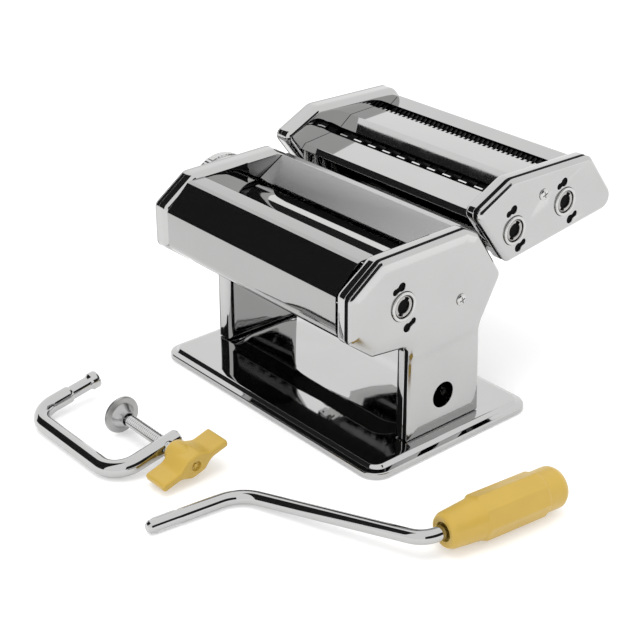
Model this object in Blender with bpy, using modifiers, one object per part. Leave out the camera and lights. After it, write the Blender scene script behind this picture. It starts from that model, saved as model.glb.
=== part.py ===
"""Hand-cranked pasta roller machine: rollers, clip-on cutter head, crank and table clamp.

Every length below is in millimetres; the helpers turn it into metres. X runs along the rollers
(+X is the crank side), Y to the back, Z up from the table. Places are measured from the middle
of the base, and one empty moves the whole set so that the origin is under its middle.
"""
import math

import bmesh
import bpy
from mathutils import Matrix, Vector

MM = 0.001
GAP = 0.3                      # between solids that touch on the real object
ORIGIN_SHIFT = (-38.8, 25.5)   # from the middle of the base to the middle of the whole set

# Base tray, a pressed steel pan on four rubber feet
BASE_SIZE = (204.0, 131.0)
BASE_CORNER = 11.0
BASE_TOP = 7.1
BASE_STEP = 5.0
PLATFORM_FOOT = (161.0, 72.0)    # the raised middle of the tray, between the cheeks
PLATFORM_HEAD = (154.0, 43.0)
PLATFORM_RISE = 1.8
FOOT_RADIUS = 7.0
FOOT_PLACE = (84.0, 49.0)

# Cheeks: an inner frame pan and an outer domed cover on each side
FRAME_X = 81.3
FRAME_RIM_X = 86.5
COVER_RIM_X = 86.8
COVER_FACE_X = 91.0
COVER_EDGE = 8.0
COVER_RISE = 3.2
SHEET = 0.8
FRAME_SHEET = 1.2
# Outline corners as (y, z, radius), anticlockwise seen from +X
BODY_OUTLINE = (
    (-28.6, 7.4, 1.0), (30.7, 7.4, 1.0), (28.0, 66.0, 18.0), (44.0, 94.0, 5.0), (23.2, 125.0, 6.0),
    (13.2, 130.6, 6.0), (-52.2, 130.0, 6.0), (-74.6, 114.1, 5.0), (-74.6, 87.4, 5.0),
    (-57.0, 73.8, 4.0), (-28.6, 70.6, 7.0),
)
CUTTER_OUTLINE = (
    (47.6, 99.5, 6.0), (146.0, 112.0, 8.0), (116.8, 149.6, 8.0), (48.4, 151.1, 10.0), (19.5, 137.1, 5.0),
)

# Rollers
DRIVE_AXIS = (-35.7, 98.6)
REAR_AXIS = (-4.7, 98.6)
ADJUSTER_AXIS = (-5.7, 98.6)
ROLLER_RADIUS = 14.35
ROLLER_HALF = 75.0
JOURNAL_RADIUS = 6.0
GEAR_FROM = 83.2
GEAR_TO = 88.2
HUB_END = 91.2
SOCKET_RADIUS = 4.7
HUB_RADIUS = 6.4

# Rails behind the body that carry the cutter head
RAIL_X = 66.0
RAIL_HEIGHT = (86.5, 98.4)

# Cutter rollers: the driven pair members lie behind the cranked ones
WIDE_AXES = ((52.0, 119.4), (72.0, 122.3))
FINE_AXES = ((95.4, 125.8), (115.4, 128.7))
CUTTER_RADIUS = 10.6
CUTTER_GROOVE = 9.2
WIDE_PITCH = 13.4
FINE_RADIUS = 10.0
CUTTER_JOURNAL = 5.0
COMB_SECTION = ((-1.1, -7.2), (1.1, -7.2), (3.2, -14.5), (-3.2, -14.5))

# Details on the cheek faces
BODY_SCREW = (10.1, 88.3)
CUTTER_SCREW = (75.9, 135.4)
CLAMP_HOLE = (-0.6, 29.5)
CLAMP_HOLE_RADIUS = 8.2
RING_RADIUS = 8.8
BODY_SLOTS = (((-37.1, 110.4), (-41.6, 108.7)), ((-32.4, 84.9), (-27.9, 87.7)))
CUTTER_SLOTS = (
    ((50.7, 132.4), (46.5, 130.6)), ((56.3, 106.6), (60.6, 109.0)),
    ((93.8, 138.2), (89.6, 136.4)), ((101.3, 112.1), (105.6, 114.5)),
)

# Thickness knob on the left, coaxial with its adjuster shaft
KNOB_RADIUS = 22.0
KNOB_FROM = 93.2
KNOB_TO = 116.0
PIN_OFFSET = 1.0

# Crank, lying on the table
CRANK_RADIUS = 4.1
CRANK_TIP = (57.6, -189.5)
CRANK_TURN = math.radians(6.6)
CRANK_TILT = math.radians(5.2)
CRANK_THROW = 102.0
CRANK_POINTS = ((0.0, 0.0, 0.0), (0.0, 58.0, 20.0), (1.0, 108.0, 14.0), (1.0, 170.0, 0.0))
GRIP_FROM = 119.5
GRIP_LENGTH = 80.0
GRIP_RADIUS = 13.3

# Table clamp, lying tilted on its back rod, its pad and one wing
CLAMP_RADIUS = 5.25
CLAMP_SPINE = (-175.0, 5.25)
CLAMP_TILT = math.radians(10.6)
CLAMP_ARM_X = (-83.0, 5.6)
CLAMP_ARM_LENGTH = (47.0, 44.8)
CLAMP_BEND = 15.0
SCREW_ARM = 35.5
SCREW_RADIUS = 3.8
PAD_X = -38.0
PAD_RADIUS = 11.4
WING_X = (11.6, 35.0)
WING_SPAN = 25.0


# ---------------------------------------------------------------- outlines
def fillet(corners, closed=True, per_arc=math.pi / 7):
    """Points along a polygon whose corners (y, z, radius) are rounded with arcs."""
    points = []
    count = len(corners)
    for index, (y, z, radius) in enumerate(corners):
        here = Vector((y, z))
        if not closed and index in (0, count - 1):
            points.append(here)
            continue
        before = (Vector(corners[index - 1][:2]) - here).normalized()
        after = (Vector(corners[(index + 1) % count][:2]) - here).normalized()
        half = before.angle(after) / 2
        steps = max(1, round((math.pi - 2 * half) / per_arc))
        middle = here + (before + after).normalized() * (radius / math.sin(half))
        start = here + before * (radius / math.tan(half)) - middle
        turn = (math.pi - 2 * half) / steps
        if before.x * after.y - before.y * after.x > 0:
            turn = -turn
        for step in range(steps + 1):
            points.append(middle + Matrix.Rotation(turn * step, 2) @ start)
    return [(point.x, point.y) for point in points]


def inset(corners, distance):
    """The same corners with every edge of the anticlockwise polygon moved inwards."""
    count = len(corners)
    moved = []
    for index, (y, z, radius) in enumerate(corners):
        here = Vector((y, z))
        into = (here - Vector(corners[index - 1][:2])).normalized()
        out = (Vector(corners[(index + 1) % count][:2]) - here).normalized()
        normal_in = Vector((-into.y, into.x))
        normal_out = Vector((-out.y, out.x))
        shift = (normal_in + normal_out) * (distance / (1 + normal_in.dot(normal_out)))
        convex = into.x * out.y - into.y * out.x > 0
        new_radius = max(radius - distance, 0.6) if convex else radius + distance
        moved.append((y + shift.x, z + shift.y, new_radius))
    return moved


def circle(centre, radius, steps=16):
    return [(centre[0] + radius * math.cos(2 * math.pi * step / steps),
             centre[1] + radius * math.sin(2 * math.pi * step / steps)) for step in range(steps)]


def keyhole(big, small, big_radius=2.6, small_radius=1.6, steps=8):
    """Outline around a large and a small circle, as in a bayonet slot."""
    points = []
    heading = math.atan2(big[1] - small[1], big[0] - small[0])
    for centre, radius, start in ((big, big_radius, heading - math.pi / 2),
                                  (small, small_radius, heading + math.pi / 2)):
        for step in range(steps + 1):
            angle = start + math.pi * step / steps
            points.append((centre[0] + radius * math.cos(angle), centre[1] + radius * math.sin(angle)))
    return points


def gear_outline(teeth, root, tip, root_width, tip_width, first_angle):
    points = []
    for tooth in range(teeth):
        middle = first_angle + 2 * math.pi * tooth / teeth
        for radius, width, side in ((root, root_width, -1), (tip, tip_width, -1),
                                    (tip, tip_width, 1), (root, root_width, 1)):
            angle = middle + side * width / (2 * radius)
            points.append((radius * math.cos(angle), radius * math.sin(angle)))
    return points


def x_points(outline, x):
    return [(x, y, z) for y, z in outline]


# ---------------------------------------------------------------- scene helpers
def clear_scene():
    for obj in list(bpy.data.objects):
        bpy.data.objects.remove(obj, do_unlink=True)


def make_collection(name):
    collection = bpy.data.collections.new(name)
    bpy.context.scene.collection.children.link(collection)
    return collection


def make_material(name, colour, metallic, roughness):
    material = bpy.data.materials.new(name)
    material.use_nodes = True
    shader = material.node_tree.nodes["Principled BSDF"]
    shader.inputs["Base Color"].default_value = (*colour, 1.0)
    shader.inputs["Metallic"].default_value = metallic
    shader.inputs["Roughness"].default_value = roughness
    material.diffuse_color = (*colour, 1.0)
    return material


FINISHES = {
    "chrome": ((0.80, 0.80, 0.79), 1.0, 0.08),
    "steel": ((0.62, 0.62, 0.61), 1.0, 0.22),
    "zinc": ((0.50, 0.50, 0.49), 1.0, 0.42),
    "gear_steel": ((0.42, 0.41, 0.40), 1.0, 0.35),
    "black_plastic": ((0.02, 0.02, 0.02), 0.0, 0.45),
    "yellow_plastic": ((0.68, 0.43, 0.07), 0.0, 0.38),
    "rubber": ((0.03, 0.03, 0.03), 0.0, 0.80),
}


class Workshop:
    """Makes objects in the parts collection, all hung from one empty at the set's origin."""

    def __init__(self):
        clear_scene()
        self.parts = make_collection("pasta_roller_machine")
        self.cutters = make_collection("cutters")
        self.base = bpy.data.objects.new("table_set", None)
        self.base.location = (ORIGIN_SHIFT[0] * MM, ORIGIN_SHIFT[1] * MM, 0.0)
        self.parts.objects.link(self.base)

    def add(self, name, mesh, finish, pivot=(0.0, 0.0, 0.0), is_cutter=False):
        """Links a mesh, whose coordinates are relative to pivot, as one object."""
        obj = bpy.data.objects.new(name, mesh)
        collection = self.cutters if is_cutter else self.parts
        collection.objects.link(obj)
        obj.parent = self.base
        obj.location = Vector(pivot) * MM
        if is_cutter:
            obj.hide_render = True
            obj.display_type = "WIRE"
        else:
            mesh.materials.append(make_material(name, *FINISHES[finish]))
            mesh.shade_smooth()
            mesh.set_sharp_from_angle(angle=math.radians(35))
        return obj

    def cut(self, target, cutter, operation="DIFFERENCE"):
        modifier = target.modifiers.new(cutter.name, "BOOLEAN")
        modifier.operation = operation
        modifier.solver = "EXACT"
        modifier.object = cutter


def mesh_from(bm, name):
    mesh = bpy.data.meshes.new(name)
    bm.to_mesh(mesh)
    bm.free()
    return mesh


def prism(shop, name, outline, low, high, finish=None, pivot=(0.0, 0.0, 0.0), frame=None):
    """A flat outline extruded between two heights: along X, or along frame's third axis."""
    frame = frame or Matrix(((0, 0, 1, 0), (1, 0, 0, 0), (0, 1, 0, 0), (0, 0, 0, 1)))
    bm = bmesh.new()
    corners = [frame @ Vector((a, b, low)) - Vector(pivot) for a, b in outline]
    face = bm.faces.new([bm.verts.new(corner * MM) for corner in corners])
    extruded = bmesh.ops.extrude_face_region(bm, geom=[face])["geom"]
    top = [item for item in extruded if isinstance(item, bmesh.types.BMVert)]
    bmesh.ops.translate(bm, verts=top, vec=(frame.to_3x3() @ Vector((0, 0, high - low))) * MM)
    bmesh.ops.recalc_face_normals(bm, faces=bm.faces)
    return shop.add(name, mesh_from(bm, name), finish, pivot, is_cutter=finish is None)


def block(shop, name, low, high, finish=None, bevel=0.0, pivot=(0.0, 0.0, 0.0)):
    """A box between two corners, with its edges bevelled where asked."""
    bm = bmesh.new()
    bmesh.ops.create_cube(bm, size=1.0)
    size = [(b - a) * MM for a, b in zip(low, high)]
    middle = [((a + b) / 2 - p) * MM for a, b, p in zip(low, high, pivot)]
    bmesh.ops.scale(bm, vec=size, verts=bm.verts)
    bmesh.ops.translate(bm, vec=middle, verts=bm.verts)
    obj = shop.add(name, mesh_from(bm, name), finish, pivot, is_cutter=finish is None)
    if bevel:
        modifier = obj.modifiers.new("edges", "BEVEL")
        modifier.width = bevel * MM
        modifier.segments = 2
    return obj


def turned(shop, name, profile, place, finish=None, steps=24, closed=False, turn=(0.0, math.pi / 2, 0.0)):
    """A (radius, height) profile, listed from top to bottom, screwed around its axis.

    The axis lies along +X unless turn says otherwise, with height zero at place.
    """
    bm = bmesh.new()
    verts = [bm.verts.new((radius * MM, 0.0, height * MM)) for radius, height in profile]
    for first, second in zip(verts, verts[1:]):
        bm.edges.new((first, second))
    if closed:
        bm.edges.new((verts[-1], verts[0]))
    mesh = mesh_from(bm, name)
    obj = shop.add(name, mesh, finish, place, is_cutter=finish is None)
    obj.rotation_euler = turn
    screw = obj.modifiers.new("turn", "SCREW")
    screw.axis = "Z"
    screw.steps = steps
    screw.render_steps = steps
    screw.use_merge_vertices = True
    screw.merge_threshold = 0.00001
    screw.use_smooth_shade = True
    return obj


def rod_profile(radius, top, bottom):
    return [(0.0, top), (radius, top), (radius, bottom), (0.0, bottom)]


def shell(shop, name, rings, thickness, outward, finish, cap=True):
    """A sheet lofted through rings of equal length, thickened away from its outward side."""
    bm = bmesh.new()
    rows = [[bm.verts.new(Vector(point) * MM) for point in ring] for ring in rings]
    count = len(rows[0])
    for lower, upper in zip(rows, rows[1:]):
        for index in range(count):
            after = (index + 1) % count
            bm.faces.new((lower[index], lower[after], upper[after], upper[index]))
    if cap:
        bm.faces.new(rows[-1])
    bmesh.ops.recalc_face_normals(bm, faces=bm.faces)
    bm.faces.ensure_lookup_table()
    bm.normal_update()
    if bm.faces[-1].normal.dot(Vector(outward)) < 0:
        bmesh.ops.reverse_faces(bm, faces=bm.faces)
    obj = shop.add(name, mesh_from(bm, name), finish)
    add_thickness(obj, thickness)
    return obj


def add_thickness(obj, thickness):
    solid = obj.modifiers.new("sheet", "SOLIDIFY")
    solid.thickness = thickness * MM
    solid.offset = -1.0
    solid.use_even_offset = True


def bent_sheet(shop, name, corners, half_width, finish, thickness=SHEET, pivot=(0.0, 0.0, 0.0)):
    """A sheet bent along a (y, z, radius) line, whose thickness lies on the left of the line's run."""
    line = fillet(corners, closed=False, per_arc=math.pi / 5)
    bm = bmesh.new()
    rows = []
    for x in (-half_width, half_width):
        rows.append([bm.verts.new((Vector((x, y, z)) - Vector(pivot)) * MM) for y, z in line])
    for index in range(len(line) - 1):
        bm.faces.new((rows[0][index], rows[0][index + 1], rows[1][index + 1], rows[1][index]))
    obj = shop.add(name, mesh_from(bm, name), finish, pivot)
    add_thickness(obj, thickness)
    return obj


def tube(shop, name, points, radius, finish, pivot, resolution=3):
    """A round rod swept along points and closed by flat caps."""
    curve = bpy.data.curves.new(name, "CURVE")
    curve.dimensions = "3D"
    curve.bevel_depth = radius * MM
    curve.bevel_resolution = resolution
    curve.use_fill_caps = True
    spline = curve.splines.new("POLY")
    spline.points.add(len(points) - 1)
    for spot, point in zip(spline.points, points):
        spot.co = (*((Vector(point) - Vector(pivot)) * MM), 1.0)
    sweep = bpy.data.objects.new(name + "_sweep", curve)
    shop.parts.objects.link(sweep)
    bpy.context.view_layer.update()
    mesh = bpy.data.meshes.new_from_object(sweep.evaluated_get(bpy.context.evaluated_depsgraph_get()))
    bpy.data.objects.remove(sweep, do_unlink=True)
    mesh.materials.clear()
    bm = bmesh.new()
    bm.from_mesh(mesh)
    bmesh.ops.remove_doubles(bm, verts=bm.verts, dist=0.00001)
    bm.to_mesh(mesh)
    bm.free()
    return shop.add(name, mesh, finish, pivot)


# ---------------------------------------------------------------- base
def rounded_rectangle(size, corner, cut_in, z):
    half_x = size[0] / 2 - cut_in
    half_y = size[1] / 2 - cut_in
    radius = max(corner - cut_in, 2.0)
    corners = ((-half_x, -half_y, radius), (half_x, -half_y, radius),
               (half_x, half_y, radius), (-half_x, half_y, radius))
    return [(x, y, z) for x, y in fillet(corners, per_arc=math.pi / 8)]


def make_base(shop):
    sections = ((0.0, 1.0), (0.0, 3.4), (0.9, 4.4), (BASE_STEP - 1.2, 4.8),
                (BASE_STEP, 6.2), (BASE_STEP + 1.0, BASE_TOP))
    rings = [rounded_rectangle(BASE_SIZE, BASE_CORNER, cut_in, z) for cut_in, z in sections]
    rings.append(rounded_rectangle(PLATFORM_FOOT, BASE_CORNER, 0.0, BASE_TOP))
    rings.append(rounded_rectangle(PLATFORM_HEAD, BASE_CORNER, 0.0, BASE_TOP + PLATFORM_RISE))
    shell(shop, "base_tray", rings, SHEET, (0, 0, 1), "chrome")
    number = 0
    for side_x in (-1, 1):
        for side_y in (-1, 1):
            number += 1
            top = BASE_TOP - SHEET - GAP
            place = (side_x * FOOT_PLACE[0], side_y * FOOT_PLACE[1], 0.0)
            profile = [(0.0, top), (FOOT_RADIUS, top), (FOOT_RADIUS, 1.0), (FOOT_RADIUS - 1.0, 0.0), (0.0, 0.0)]
            turned(shop, f"rubber_foot_{number}", profile, place, "rubber", turn=(0.0, 0.0, 0.0))


# ---------------------------------------------------------------- cheeks
def mirrored(points, side):
    return [(x * side, y, z) for x, y, z in points]


def hole(shop, target, name, centre, radius, low, high, side=1):
    cutter = prism(shop, name, circle(centre, radius), min(low * side, high * side), max(low * side, high * side))
    shop.cut(target, cutter)


def make_frame(shop, name, corners, side, holes):
    """An inner side plate with its rim turned outwards."""
    outline = fillet(corners)
    rings = [mirrored(x_points(outline, x), side) for x in (FRAME_RIM_X, FRAME_X)]
    frame = shell(shop, name, rings, FRAME_SHEET, (-side, 0, 0), "chrome")
    for index, (centre, radius) in enumerate(holes):
        hole(shop, frame, f"{name}_bore_{index}", centre, radius, FRAME_X - 2, FRAME_X + 2.5, side)
    return frame


def make_cover(shop, name, corners, side, holes, slots):
    """An outer cover, domed towards its flat face."""
    rings = [mirrored(x_points(fillet(corners), COVER_RIM_X), side)]
    for angle in (0, 33, 62, 90):
        lean = math.radians(angle)
        outline = fillet(inset(corners, COVER_EDGE * (1 - math.cos(lean))))
        height = COVER_FACE_X - COVER_RISE * (1 - math.sin(lean))
        rings.append(mirrored(x_points(outline, height), side))
    cover = shell(shop, name, rings, SHEET, (side, 0, 0), "chrome")
    for index, (centre, radius) in enumerate(holes):
        hole(shop, cover, f"{name}_hole_{index}", centre, radius, COVER_FACE_X - 3, COVER_FACE_X + 3, side)
    for index, (big, small) in enumerate(slots):
        low, high = sorted((side * (COVER_FACE_X - 3), side * (COVER_FACE_X + 3)))
        shop.cut(cover, prism(shop, f"{name}_slot_{index}", keyhole(big, small), low, high))
    return cover


def make_cover_screw(shop, name, centre, side):
    """A domed screw through the cover into the frame plate."""
    shank_end = FRAME_X + FRAME_SHEET + GAP
    profile = [(0.0, 92.1), (2.4, 91.9), (4.0, 91.35), (1.7, 91.35), (1.7, shank_end), (0.0, shank_end)]
    turn = (0.0, side * math.pi / 2, 0.0)
    turned(shop, name, profile, (0.0, *centre), "steel", steps=16, turn=turn)


def make_socket_ring(shop, name, centre):
    """The collar around a crank socket, held behind the cover by its flange."""
    profile = [(RING_RADIUS, 92.0), (RING_RADIUS, 89.8), (10.8, 89.8), (10.8, 88.6), (7.0, 88.6), (7.0, 92.0)]
    turned(shop, name, profile, (0.0, *centre), "steel", steps=18, closed=True)


def make_body_cheeks(shop):
    for side, label in ((1, "right"), (-1, "left")):
        frame_holes = [(DRIVE_AXIS, 6.5), (ADJUSTER_AXIS, 8.2 if side > 0 else 7.0)]
        cover_holes = [(BODY_SCREW, 2.2)]
        if side > 0:
            frame_holes.append((CLAMP_HOLE, 6.6))
            cover_holes += [(CLAMP_HOLE, CLAMP_HOLE_RADIUS), (DRIVE_AXIS, RING_RADIUS + 0.4)]
        else:
            cover_holes.append((ADJUSTER_AXIS, 6.0))
        make_frame(shop, f"frame_{label}", BODY_OUTLINE, side, frame_holes)
        make_cover(shop, f"cover_{label}", BODY_OUTLINE, side, cover_holes, BODY_SLOTS if side > 0 else ())
        make_cover_screw(shop, f"cover_screw_{label}", BODY_SCREW, side)
    make_socket_ring(shop, "socket_ring", DRIVE_AXIS)


# ---------------------------------------------------------------- body sheets and rods
def make_body_sheets(shop):
    half = FRAME_X - GAP
    # front cover: guide down to the rollers, top lip, chamfer, face and curl underneath
    front = ((-32.2, 115.5, 0), (-45.2, 127.5, 1.5), (-55.3, 127.5, 1.5), (-57.9, 126.7, 1.0),
             (-73.8, 111.6, 3.0), (-73.8, 88.0, 9.0), (-59.0, 76.0, 8.0), (-44.0, 76.6, 0))
    bent_sheet(shop, "front_cover", front, half, "chrome")
    rear = ((24.0, 75.0, 0), (40.3, 95.3, 3.0), (22.4, 123.2, 2.0), (18.0, 123.2, 0))
    bent_sheet(shop, "rear_cover", rear, half, "chrome")
    scraper_angle = math.radians(242)
    tip = [DRIVE_AXIS[0] + (ROLLER_RADIUS + 0.5) * math.cos(scraper_angle),
           DRIVE_AXIS[1] + (ROLLER_RADIUS + 0.5) * math.sin(scraper_angle)]
    blade = ((tip[0], tip[1], 0), (tip[0] - 10.0, tip[1] - 3.2, 0))
    bent_sheet(shop, "front_scraper", blade, ROLLER_HALF, "black_plastic", thickness=1.2)
    for name, centre in (("tie_rod_front", (-60.0, 87.0)), ("tie_rod_rear", (26.0, 108.0))):
        turned(shop, name, rod_profile(4.0, half, -half), (0.0, *centre), "steel", steps=16)


def make_hopper(shop):
    """The loose feed tray: a sloping plate with a turned-over top and a wing at each end."""
    half = FRAME_X - 0.6
    bottom_half = 71.5
    low, high, lip = (-0.5, 114.2), (17.5, 126.7), (21.7, 126.9)
    wing = (-1.0, 115.5)
    bm = bmesh.new()
    left_low, right_low = (bm.verts.new(Vector((x, *low)) * MM) for x in (-bottom_half, bottom_half))
    left_high, right_high = (bm.verts.new(Vector((x, *high)) * MM) for x in (-half, half))
    left_lip, right_lip = (bm.verts.new(Vector((x, *lip)) * MM) for x in (-half, half))
    left_wing, right_wing = (bm.verts.new(Vector((x, *wing)) * MM) for x in (-half, half))
    bm.faces.new((left_low, right_low, right_high, left_high))
    bm.faces.new((left_high, right_high, right_lip, left_lip))
    bm.faces.new((left_wing, left_low, left_high))
    bm.faces.new((right_low, right_wing, right_high))
    obj = shop.add("feed_tray", mesh_from(bm, "feed_tray"), "chrome")
    add_thickness(obj, SHEET)


# ---------------------------------------------------------------- rollers and gears
def make_gear(shop, name, centre, teeth, sizes, first_angle, bore, hub=False):
    """A spur gear; with hub, its collar reaches out to the socket ring and takes the crank."""
    root, tip, root_width, tip_width = sizes
    pivot = (0.0, *centre)
    outline = gear_outline(teeth, root, tip, root_width, tip_width, first_angle)
    moved = [(y + centre[0], z + centre[1]) for y, z in outline]
    gear = prism(shop, name, moved, GEAR_FROM, GEAR_TO, "gear_steel", pivot)
    if hub:
        collar = turned(shop, name + "_collar", rod_profile(HUB_RADIUS, HUB_END, GEAR_FROM + 1.0), pivot)
        shop.cut(gear, collar, "UNION")
    cutter = prism(shop, name + "_bore", circle(centre, bore), GEAR_FROM - 1, HUB_END + 1)
    shop.cut(gear, cutter)


def roller_profile(radius, journal, right_end, left_end, half=ROLLER_HALF):
    return [(0.0, right_end), (journal, right_end), (journal, half), (radius, half),
            (radius, -half), (journal, -half), (journal, -left_end), (0.0, -left_end)]


def grooved_profile(radius, groove, pitch, shift, journal, right_end, left_end):
    """A roller of separate discs, each a little under half a pitch wide."""
    profile = [(0.0, right_end), (journal, right_end), (journal, ROLLER_HALF), (groove, ROLLER_HALF)]
    discs = int((2 * ROLLER_HALF - 2) // pitch)
    width = pitch / 2 - 0.4
    for disc in range(discs):
        middle = (discs - 1) * pitch / 2 - disc * pitch + shift
        profile += [(groove, middle + width / 2), (radius, middle + width / 2),
                    (radius, middle - width / 2), (groove, middle - width / 2)]
    profile += [(groove, -ROLLER_HALF), (journal, -ROLLER_HALF), (journal, -left_end), (0.0, -left_end)]
    return profile


def make_rollers(shop):
    right_end = FRAME_X + 1.5
    left_end = FRAME_X + 1.0
    drive = roller_profile(ROLLER_RADIUS, JOURNAL_RADIUS, right_end, left_end)
    turned(shop, "drive_roller", drive, (0.0, *DRIVE_AXIS), "chrome", steps=28)
    rear = roller_profile(ROLLER_RADIUS, JOURNAL_RADIUS, GEAR_TO, 78.0)
    turned(shop, "rear_roller", rear, (0.0, *REAR_AXIS), "chrome", steps=28)
    teeth = 14
    sizes = (12.4, 15.9, 3.4, 1.5)
    make_gear(shop, "drive_gear", DRIVE_AXIS, teeth, sizes, 0.0, SOCKET_RADIUS, hub=True)
    make_gear(shop, "rear_gear", REAR_AXIS, teeth, sizes, math.pi / teeth, JOURNAL_RADIUS + GAP)


def make_gap_carriage(shop):
    """Bearing blocks that carry the rear roller, and the scraper that moves with them."""
    for side, label in ((1, "right"), (-1, "left")):
        low = (75.4, REAR_AXIS[0] - 11, REAR_AXIS[1] - 11)
        high = (FRAME_X - GAP, REAR_AXIS[0] + 11, REAR_AXIS[1] + 11)
        if side < 0:
            low, high = (-high[0], low[1], low[2]), (-low[0], high[1], high[2])
        name = f"bearing_block_{label}"
        box = block(shop, name, low, high, "black_plastic", bevel=1.5)
        deep = 90.0 if side > 0 else 78.3
        hole(shop, box, name + "_bore", REAR_AXIS, JOURNAL_RADIUS + GAP, 74.0, deep, side)
        if side < 0:
            slot = ((-82.0, REAR_AXIS[0] - 2.4, REAR_AXIS[1] - 3.6), (-79.2, REAR_AXIS[0] + 2.4, REAR_AXIS[1] + 3.6))
            shop.cut(box, block(shop, name + "_slot", *slot))
    scraper_angle = math.radians(298)
    tip = [REAR_AXIS[0] + (ROLLER_RADIUS + 0.5) * math.cos(scraper_angle),
           REAR_AXIS[1] + (ROLLER_RADIUS + 0.5) * math.sin(scraper_angle)]
    blade = ((tip[0] + 10.0, tip[1] - 3.2, 0), (tip[0], tip[1], 0))
    bent_sheet(shop, "rear_scraper", blade, ROLLER_HALF, "black_plastic", thickness=1.2)


def make_adjuster(shop):
    """The knob's shaft with its offset pin, the knob and the spring that holds it in."""
    outward = (0.0, -math.pi / 2, 0.0)
    place = (0.0, *ADJUSTER_AXIS)
    head_under = 111.2
    inner_end = FRAME_X - 0.1
    shaft_profile = [(0.0, head_under + 2.2), (6.9, head_under + 2.2), (6.9, head_under), (5.0, head_under),
                     (5.0, 92.6), (5.6, 92.6), (5.6, 89.2), (6.6, 89.2), (6.6, inner_end), (0.0, inner_end)]
    shaft = turned(shop, "adjuster_shaft", shaft_profile, place, "steel", turn=outward)
    pin_centre = (ADJUSTER_AXIS[0] + PIN_OFFSET, ADJUSTER_AXIS[1])
    pin = prism(shop, "adjuster_pin", circle(pin_centre, 2.0, 12), -82.0, -79.5)
    shop.cut(shaft, pin, "UNION")
    knob = [(19.0, KNOB_TO), (KNOB_RADIUS - 1.0, 113.0), (KNOB_RADIUS, 111.6), (KNOB_RADIUS, 95.4),
            (KNOB_RADIUS - 1.0, KNOB_FROM), (19.6, KNOB_FROM), (19.6, 100.0), (5.4, 100.0),
            (5.4, 102.0), (7.4, 102.0), (7.4, 114.6), (9.0, KNOB_TO)]
    turned(shop, "thickness_knob", knob, place, "steel", steps=24, closed=True, turn=outward)
    turns, per_turn, wire, coil = 3, 8, 0.5, 6.3
    coil_end = head_under - 0.6
    coil_start = coil_end - 3.2
    points = []
    for step in range(turns * per_turn + 1):
        angle = 2 * math.pi * step / per_turn
        out = coil_start + (coil_end - coil_start) * step / (turns * per_turn)
        points.append((-out, ADJUSTER_AXIS[0] + coil * math.cos(angle), ADJUSTER_AXIS[1] + coil * math.sin(angle)))
    tube(shop, "knob_spring", points, wire, "steel", place, resolution=1)


# ---------------------------------------------------------------- mounting rails
def make_mount_rails(shop):
    """A T rail behind the body on each side, and the cutter head's shoe that drops over it."""
    plan = Matrix.Identity(4)
    for side, label in ((1, "right"), (-1, "left")):
        centre = RAIL_X * side
        rail = [(centre - 2.5, 41.6), (centre + 2.5, 41.6), (centre + 2.5, 44.4), (centre + 5.0, 44.4),
                (centre + 5.0, 46.4), (centre - 5.0, 46.4), (centre - 5.0, 44.4), (centre - 2.5, 44.4)]
        prism(shop, f"mount_rail_{label}", rail, *RAIL_HEIGHT, "steel", frame=plan)
        body = [(centre - 8.0, 43.0), (centre + 8.0, 43.0), (centre + 8.0, 49.4), (centre - 8.0, 49.4)]
        shoe = prism(shop, f"mount_shoe_{label}", body, RAIL_HEIGHT[0] + 0.9, RAIL_HEIGHT[1] + 4.4,
                     "steel", frame=plan)
        channel = [(centre - 3.0, 42.0), (centre + 3.0, 42.0), (centre + 3.0, 43.9), (centre + 5.5, 43.9),
                   (centre + 5.5, 46.9), (centre - 5.5, 46.9), (centre - 5.5, 43.9), (centre - 3.0, 43.9)]
        top = RAIL_HEIGHT[1] + 0.5
        shop.cut(shoe, prism(shop, f"mount_channel_{label}", channel, RAIL_HEIGHT[0] - 0.5, top, frame=plan))


# ---------------------------------------------------------------- cutter head
def make_cutter_head(shop):
    half = FRAME_X - GAP
    bores = [(WIDE_AXES[0], 5.5), (WIDE_AXES[1], 5.5), (FINE_AXES[0], 5.5), (FINE_AXES[1], 5.5)]
    for side, label in ((1, "right"), (-1, "left")):
        make_frame(shop, f"cutter_frame_{label}", CUTTER_OUTLINE, side, bores)
        holes = [(CUTTER_SCREW, 2.2)]
        slots = ()
        if side > 0:
            holes += [(WIDE_AXES[0], RING_RADIUS + 0.4), (FINE_AXES[0], RING_RADIUS + 0.4)]
            slots = CUTTER_SLOTS
        make_cover(shop, f"cutter_cover_{label}", CUTTER_OUTLINE, side, holes, slots)
        make_cover_screw(shop, f"cutter_screw_{label}", CUTTER_SCREW, side)
    make_socket_ring(shop, "wide_socket_ring", WIDE_AXES[0])
    make_socket_ring(shop, "fine_socket_ring", FINE_AXES[0])
    front = ((58.0, 131.9, 0), (36.4, 129.5, 0.8), (33.4, 126.4, 0.8), (35.4, 118.0, 4.0), (46.5, 103.5, 0))
    bent_sheet(shop, "cutter_front_cover", front, half, "chrome")
    middle = ((97.6, 138.8, 0), (96.9, 141.2, 1.0), (75.8, 140.2, 2.0), (67.0, 133.6, 0))
    bent_sheet(shop, "cutter_middle_cover", middle, half, "chrome")
    rear = ((129.0, 112.0, 0), (136.6, 119.0, 4.0), (119.8, 144.6, 2.0), (112.0, 139.4, 0))
    bent_sheet(shop, "cutter_rear_cover", rear, half, "chrome")


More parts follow.
